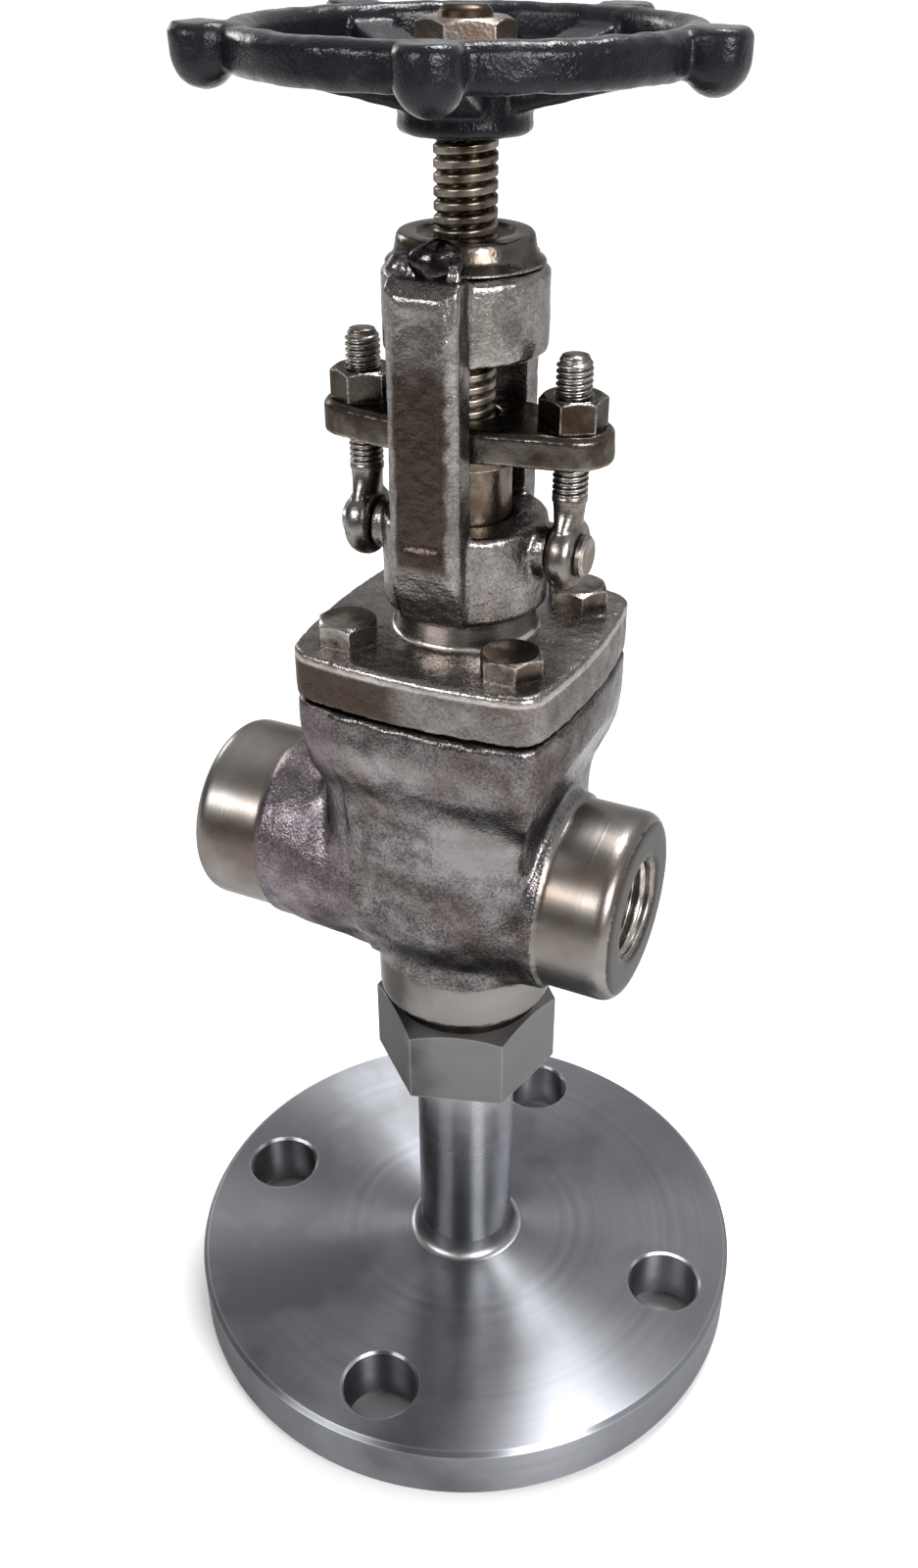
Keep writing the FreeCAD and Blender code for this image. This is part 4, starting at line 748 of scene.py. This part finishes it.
dress("bush_set_screw", gland_nut_steel)
burnt_weld = forged("burnt_weld", (0.03, 0.025, 0.026), (0.1, 0.088, 0.09), (0.018, 0.013, 0.012),
                    0.14, 0.00006, 0.7)
blued_weld = forged("blued_weld", (0.11, 0.092, 0.103), (0.22, 0.195, 0.21), (0.05, 0.038, 0.038),
                    0.22, 0.0001, 0.5)


def weld_blob(name, centre, reach, seed, metal):
    """A run of weld metal: an ellipsoid whose radius swells and dips with a field of waves."""
    latitudes = np.linspace(-np.pi / 2, np.pi / 2, 26)[:, None]
    longitudes = np.linspace(0, 2 * np.pi, 52, endpoint=False)[None, :]
    ball = np.stack([np.cos(latitudes) * np.cos(longitudes), np.cos(latitudes) * np.sin(longitudes),
                     np.sin(latitudes) + 0 * longitudes], axis=-1)
    swell = 1 + 0.13 * waves(ball.reshape(-1, 3), 1.3, seed).reshape(ball.shape[:2])
    swell[0], swell[-1] = swell[0].mean(), swell[-1].mean()
    made = surface(name, ball * swell[..., None] * reach + centre, metal)
    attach(made, "valve_frame")


weld_blob("bush_tack_middle", (0.0004, -0.0114, 0.2374), (0.0046, 0.0030, 0.0038), 21, burnt_weld)
weld_blob("bush_tack_right", (0.0042, -0.0131, 0.2345), (0.0013, 0.0014, 0.0036), 22, handled_and_highlit_forging)
weld_blob("bush_tack_left", (-0.0046, -0.0116, 0.2364), (0.0030, 0.0028, 0.0027), 23, blued_weld)


# The stem is a turned spindle with a coarse trapezoidal thread above the gland. It is oiled,
# with brown grease in the roots and bright crests where the bush rubs.
stem_steel, tree, shader = finish_of("stem_steel", (0.3, 0.26, 0.21), 0.25)
point = place_of(tree)
crest = spread(tree, from_stem_axis(tree, point), 0.0044, 0.0049)
grease = add(tree, "TexNoise", {"Vector": point, "Scale": 210.0, "Detail": 4.0}).outputs[0]
wear_and_highlight = sum_of(tree, "MULTIPLY", crest, spread(tree, grease, 0.35, 0.6))
tree.links.new(tint(tree, wear_and_highlight, (0.045, 0.034, 0.024, 1), (0.22, 0.19, 0.155, 1)),
               shader.inputs["Base Color"])
tree.links.new(spread(tree, grease, 0.3, 0.7, 0.2, 0.42), shader.inputs["Roughness"])


def stem_surface():
    """The spindle's profile turned round Z. Between the gland and the wheel its radius is 5 mm
    less the thread's depth times a wave of height over pitch less angle over a full turn."""
    pitch, depth, turns, fade = 0.002, 0.0006, 72, 0.0028
    low, high, radius = 0.1962, 0.2544, 0.005
    plain = [(0.0, 0.1343), (0.0046, 0.1343), (0.0046, 0.1367), (0.0032, 0.1367), (0.0032, 0.1407),
             (radius, 0.1415), (radius, 0.1539), (0.0069, 0.1539), (0.0069, 0.1574),
             (radius, 0.1592), (radius, 0.196)]
    top = [(0.004, high), (0.004, 0.2704), (0.0032, 0.2712), (0.0, 0.2712)]
    thread = np.linspace(low, high, 360)[:, None]
    angles = np.linspace(0, 1, turns, endpoint=False)[None, :]
    cut = depth * ramp(thread, low, low + fade) * thread_wave(thread / pitch - angles, crest=0.5)
    radii = np.vstack([np.array([r for r, h in plain])[:, None] + 0 * angles, radius - cut,
                       np.array([r for r, h in top])[:, None] + 0 * angles])
    heights = np.concatenate([[h for r, h in plain], thread[:, 0], [h for r, h in top]])
    return lathe(radii, heights, turns)


stem_screw = surface("stem_screw", stem_surface(), stem_steel)
sharp = stem_screw.modifiers.new("sharp", "EDGE_SPLIT")
sharp.split_angle = math.radians(60)
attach(stem_screw, "stem_and_wheel")
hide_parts("stem")


# The handwheel is an iron casting in thick gloss black enamel: a hub, five rising spokes and a
# rim with a knob at each spoke. The enamel is lumpy over the sand-cast skin, and dusty in patches.
enamel, tree, shader = finish_of("black_enamel", (0.006, 0.006, 0.008), 0.2, metallic=0.0,
                                 Specular_IOR_Level=0.16)
point = place_of(tree)
skin = add(tree, "Group", {"Place": point}, node_tree=forged_skin).outputs
dust = add(tree, "TexNoise", {"Vector": point, "Scale": 130.0, "Detail": 5.0,
                              "Roughness": 0.7}).outputs[0]
tree.links.new(tint(tree, spread(tree, dust, 0.6, 0.72), (0.005, 0.005, 0.007, 1),
                    (0.02, 0.0195, 0.021, 1)), shader.inputs["Base Color"])
tree.links.new(spread(tree, dust, 0.4, 0.7, 0.16, 0.45), shader.inputs["Roughness"])
bump = add(tree, "Bump", {"Height": skin["Height"], "Distance": 0.0002, "Strength": 0.7})
tree.links.new(bump.outputs[0], shader.inputs["Normal"])

wheel_skin = soften("wheel_skin", "handwheel", 0.00045, 10, enamel)
points = rows_of(wheel_skin.data.vertices, "co")
push(wheel_skin, 0.00009 * waves(points, 0.007, 31) + 0.00003 * waves(points, 0.0028, 32))
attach(wheel_skin, "stem_and_wheel")
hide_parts("handwheel")

worn_nut_steel = browned("worn_nut_steel", (0.27, 0.24, 0.215), (0.12, 0.078, 0.055), 0.26, 0.0007)
dress("handwheel_nut", worn_nut_steel)
dress("handwheel_washer", worn_nut_steel)


# The studio: a wide pale floor, a soft room that is darker behind the camera, and large lamps.
# None of it belongs to the valve.
def shown(tree):
    """1 for what the camera sees directly, in metal or through glass, and 0 for other light."""
    path = add(tree, "LightPath").outputs
    mirrored = sum_of(tree, "MAXIMUM", path["Is Glossy Ray"], path["Is Transmission Ray"])
    return sum_of(tree, "MAXIMUM", path["Is Camera Ray"], mirrored)


floor_mesh = bpy.data.meshes.new("floor")
reach = 6.0
floor_mesh.from_pydata([(-reach, -reach, 0), (reach, -reach, 0), (reach, reach, 0),
                        (-reach, reach, 0)], [], [(0, 1, 2, 3)])
floor = bpy.data.objects.new("floor", floor_mesh)
bpy.context.scene.collection.objects.link(floor)
pale_floor, tree, shader = finish_of("pale_floor", (0.56, 0.56, 0.56), 0.9, metallic=0.0)
shader.inputs["Emission Color"].default_value = (1, 1, 1, 1)
toward_camera = (0.42, -0.907, 0)
place = place_of(tree)
away = add(tree, "VectorMath", {0: place}, operation="LENGTH").outputs["Value"]
ahead = add(tree, "VectorMath", {0: place, 1: toward_camera}, operation="DOT_PRODUCT").outputs["Value"]
past_flange = spread(tree, away, 0.058, 0.1)
behind = sum_of(tree, "MULTIPLY", past_flange, spread(tree, ahead, 0.1, 0.22, 1.0, 0.0))
glow = sum_of(tree, "MULTIPLY", behind, spread(tree, away, 0.4, 1.3, 0.42, 0.8))
tree.links.new(sum_of(tree, "MULTIPLY", glow, shown(tree)), shader.inputs["Emission Strength"])
floor.data.materials.append(pale_floor)

room = bpy.data.worlds.new("room")
room.use_nodes = True
tree = room.node_tree
background = tree.nodes["Background"]
background.inputs["Color"].default_value = (1, 1, 1, 1)
brightest = (0.15, 0.7, 0.7)
direction = add(tree, "TexCoord").outputs["Generated"]
facing = add(tree, "VectorMath", {0: direction, 1: brightest}, operation="DOT_PRODUCT").outputs["Value"]
tree.links.new(spread(tree, facing, -0.2, 0.65, 0.14, 0.85), background.inputs["Strength"])
bpy.context.scene.world = room


def lamp(name, place, aim, width, power, height=None):
    """A soft lamp at a place, turned to face its aim: a square, or a strip of the height."""
    light = bpy.data.lights.new(name, "AREA")
    light.shape = "RECTANGLE"
    light.size = width
    light.size_y = height or width
    light.energy = power
    made = bpy.data.objects.new(name, light)
    bpy.context.scene.collection.objects.link(made)
    heading = np.array(aim) - np.array(place)
    made.location = place
    made.rotation_euler = (math.acos(-heading[2] / np.linalg.norm(heading)), 0,
                           math.atan2(heading[1], heading[0]) - math.pi / 2)


lamp("right_window", (0.5, -0.36, 0.42), (0.16, -0.16, 0.06), 0.28, 7.5)
lamp("overhead", (0.05, 0.26, 0.95), (0, 0, 0.1), 0.26, 10.5)
lamp("left_rim", (-0.7, 0.3, 0.45), (0, 0, 0.15), 0.25, 2.0)
lamp("front_strip", (-0.28, -0.6, 0.5), (0, 0, 0.13), 0.42, 4.4, 0.11)

camera_data = bpy.data.cameras.new("camera")
camera_data.lens = 33.13
camera_data.shift_x = -0.0042
camera_data.shift_y = 0.0249
camera_data.clip_start = 0.01
camera = bpy.data.objects.new("camera", camera_data)
bpy.context.scene.collection.objects.link(camera)
camera.location = (0.1006, -0.2158, 0.2869)
looks_down, looks_left = 33.37, 25
camera.rotation_euler = (math.radians(90 - looks_down), 0, math.radians(looks_left))
bpy.context.scene.camera = camera
bpy.context.scene.view_settings.view_transform = "Standard"
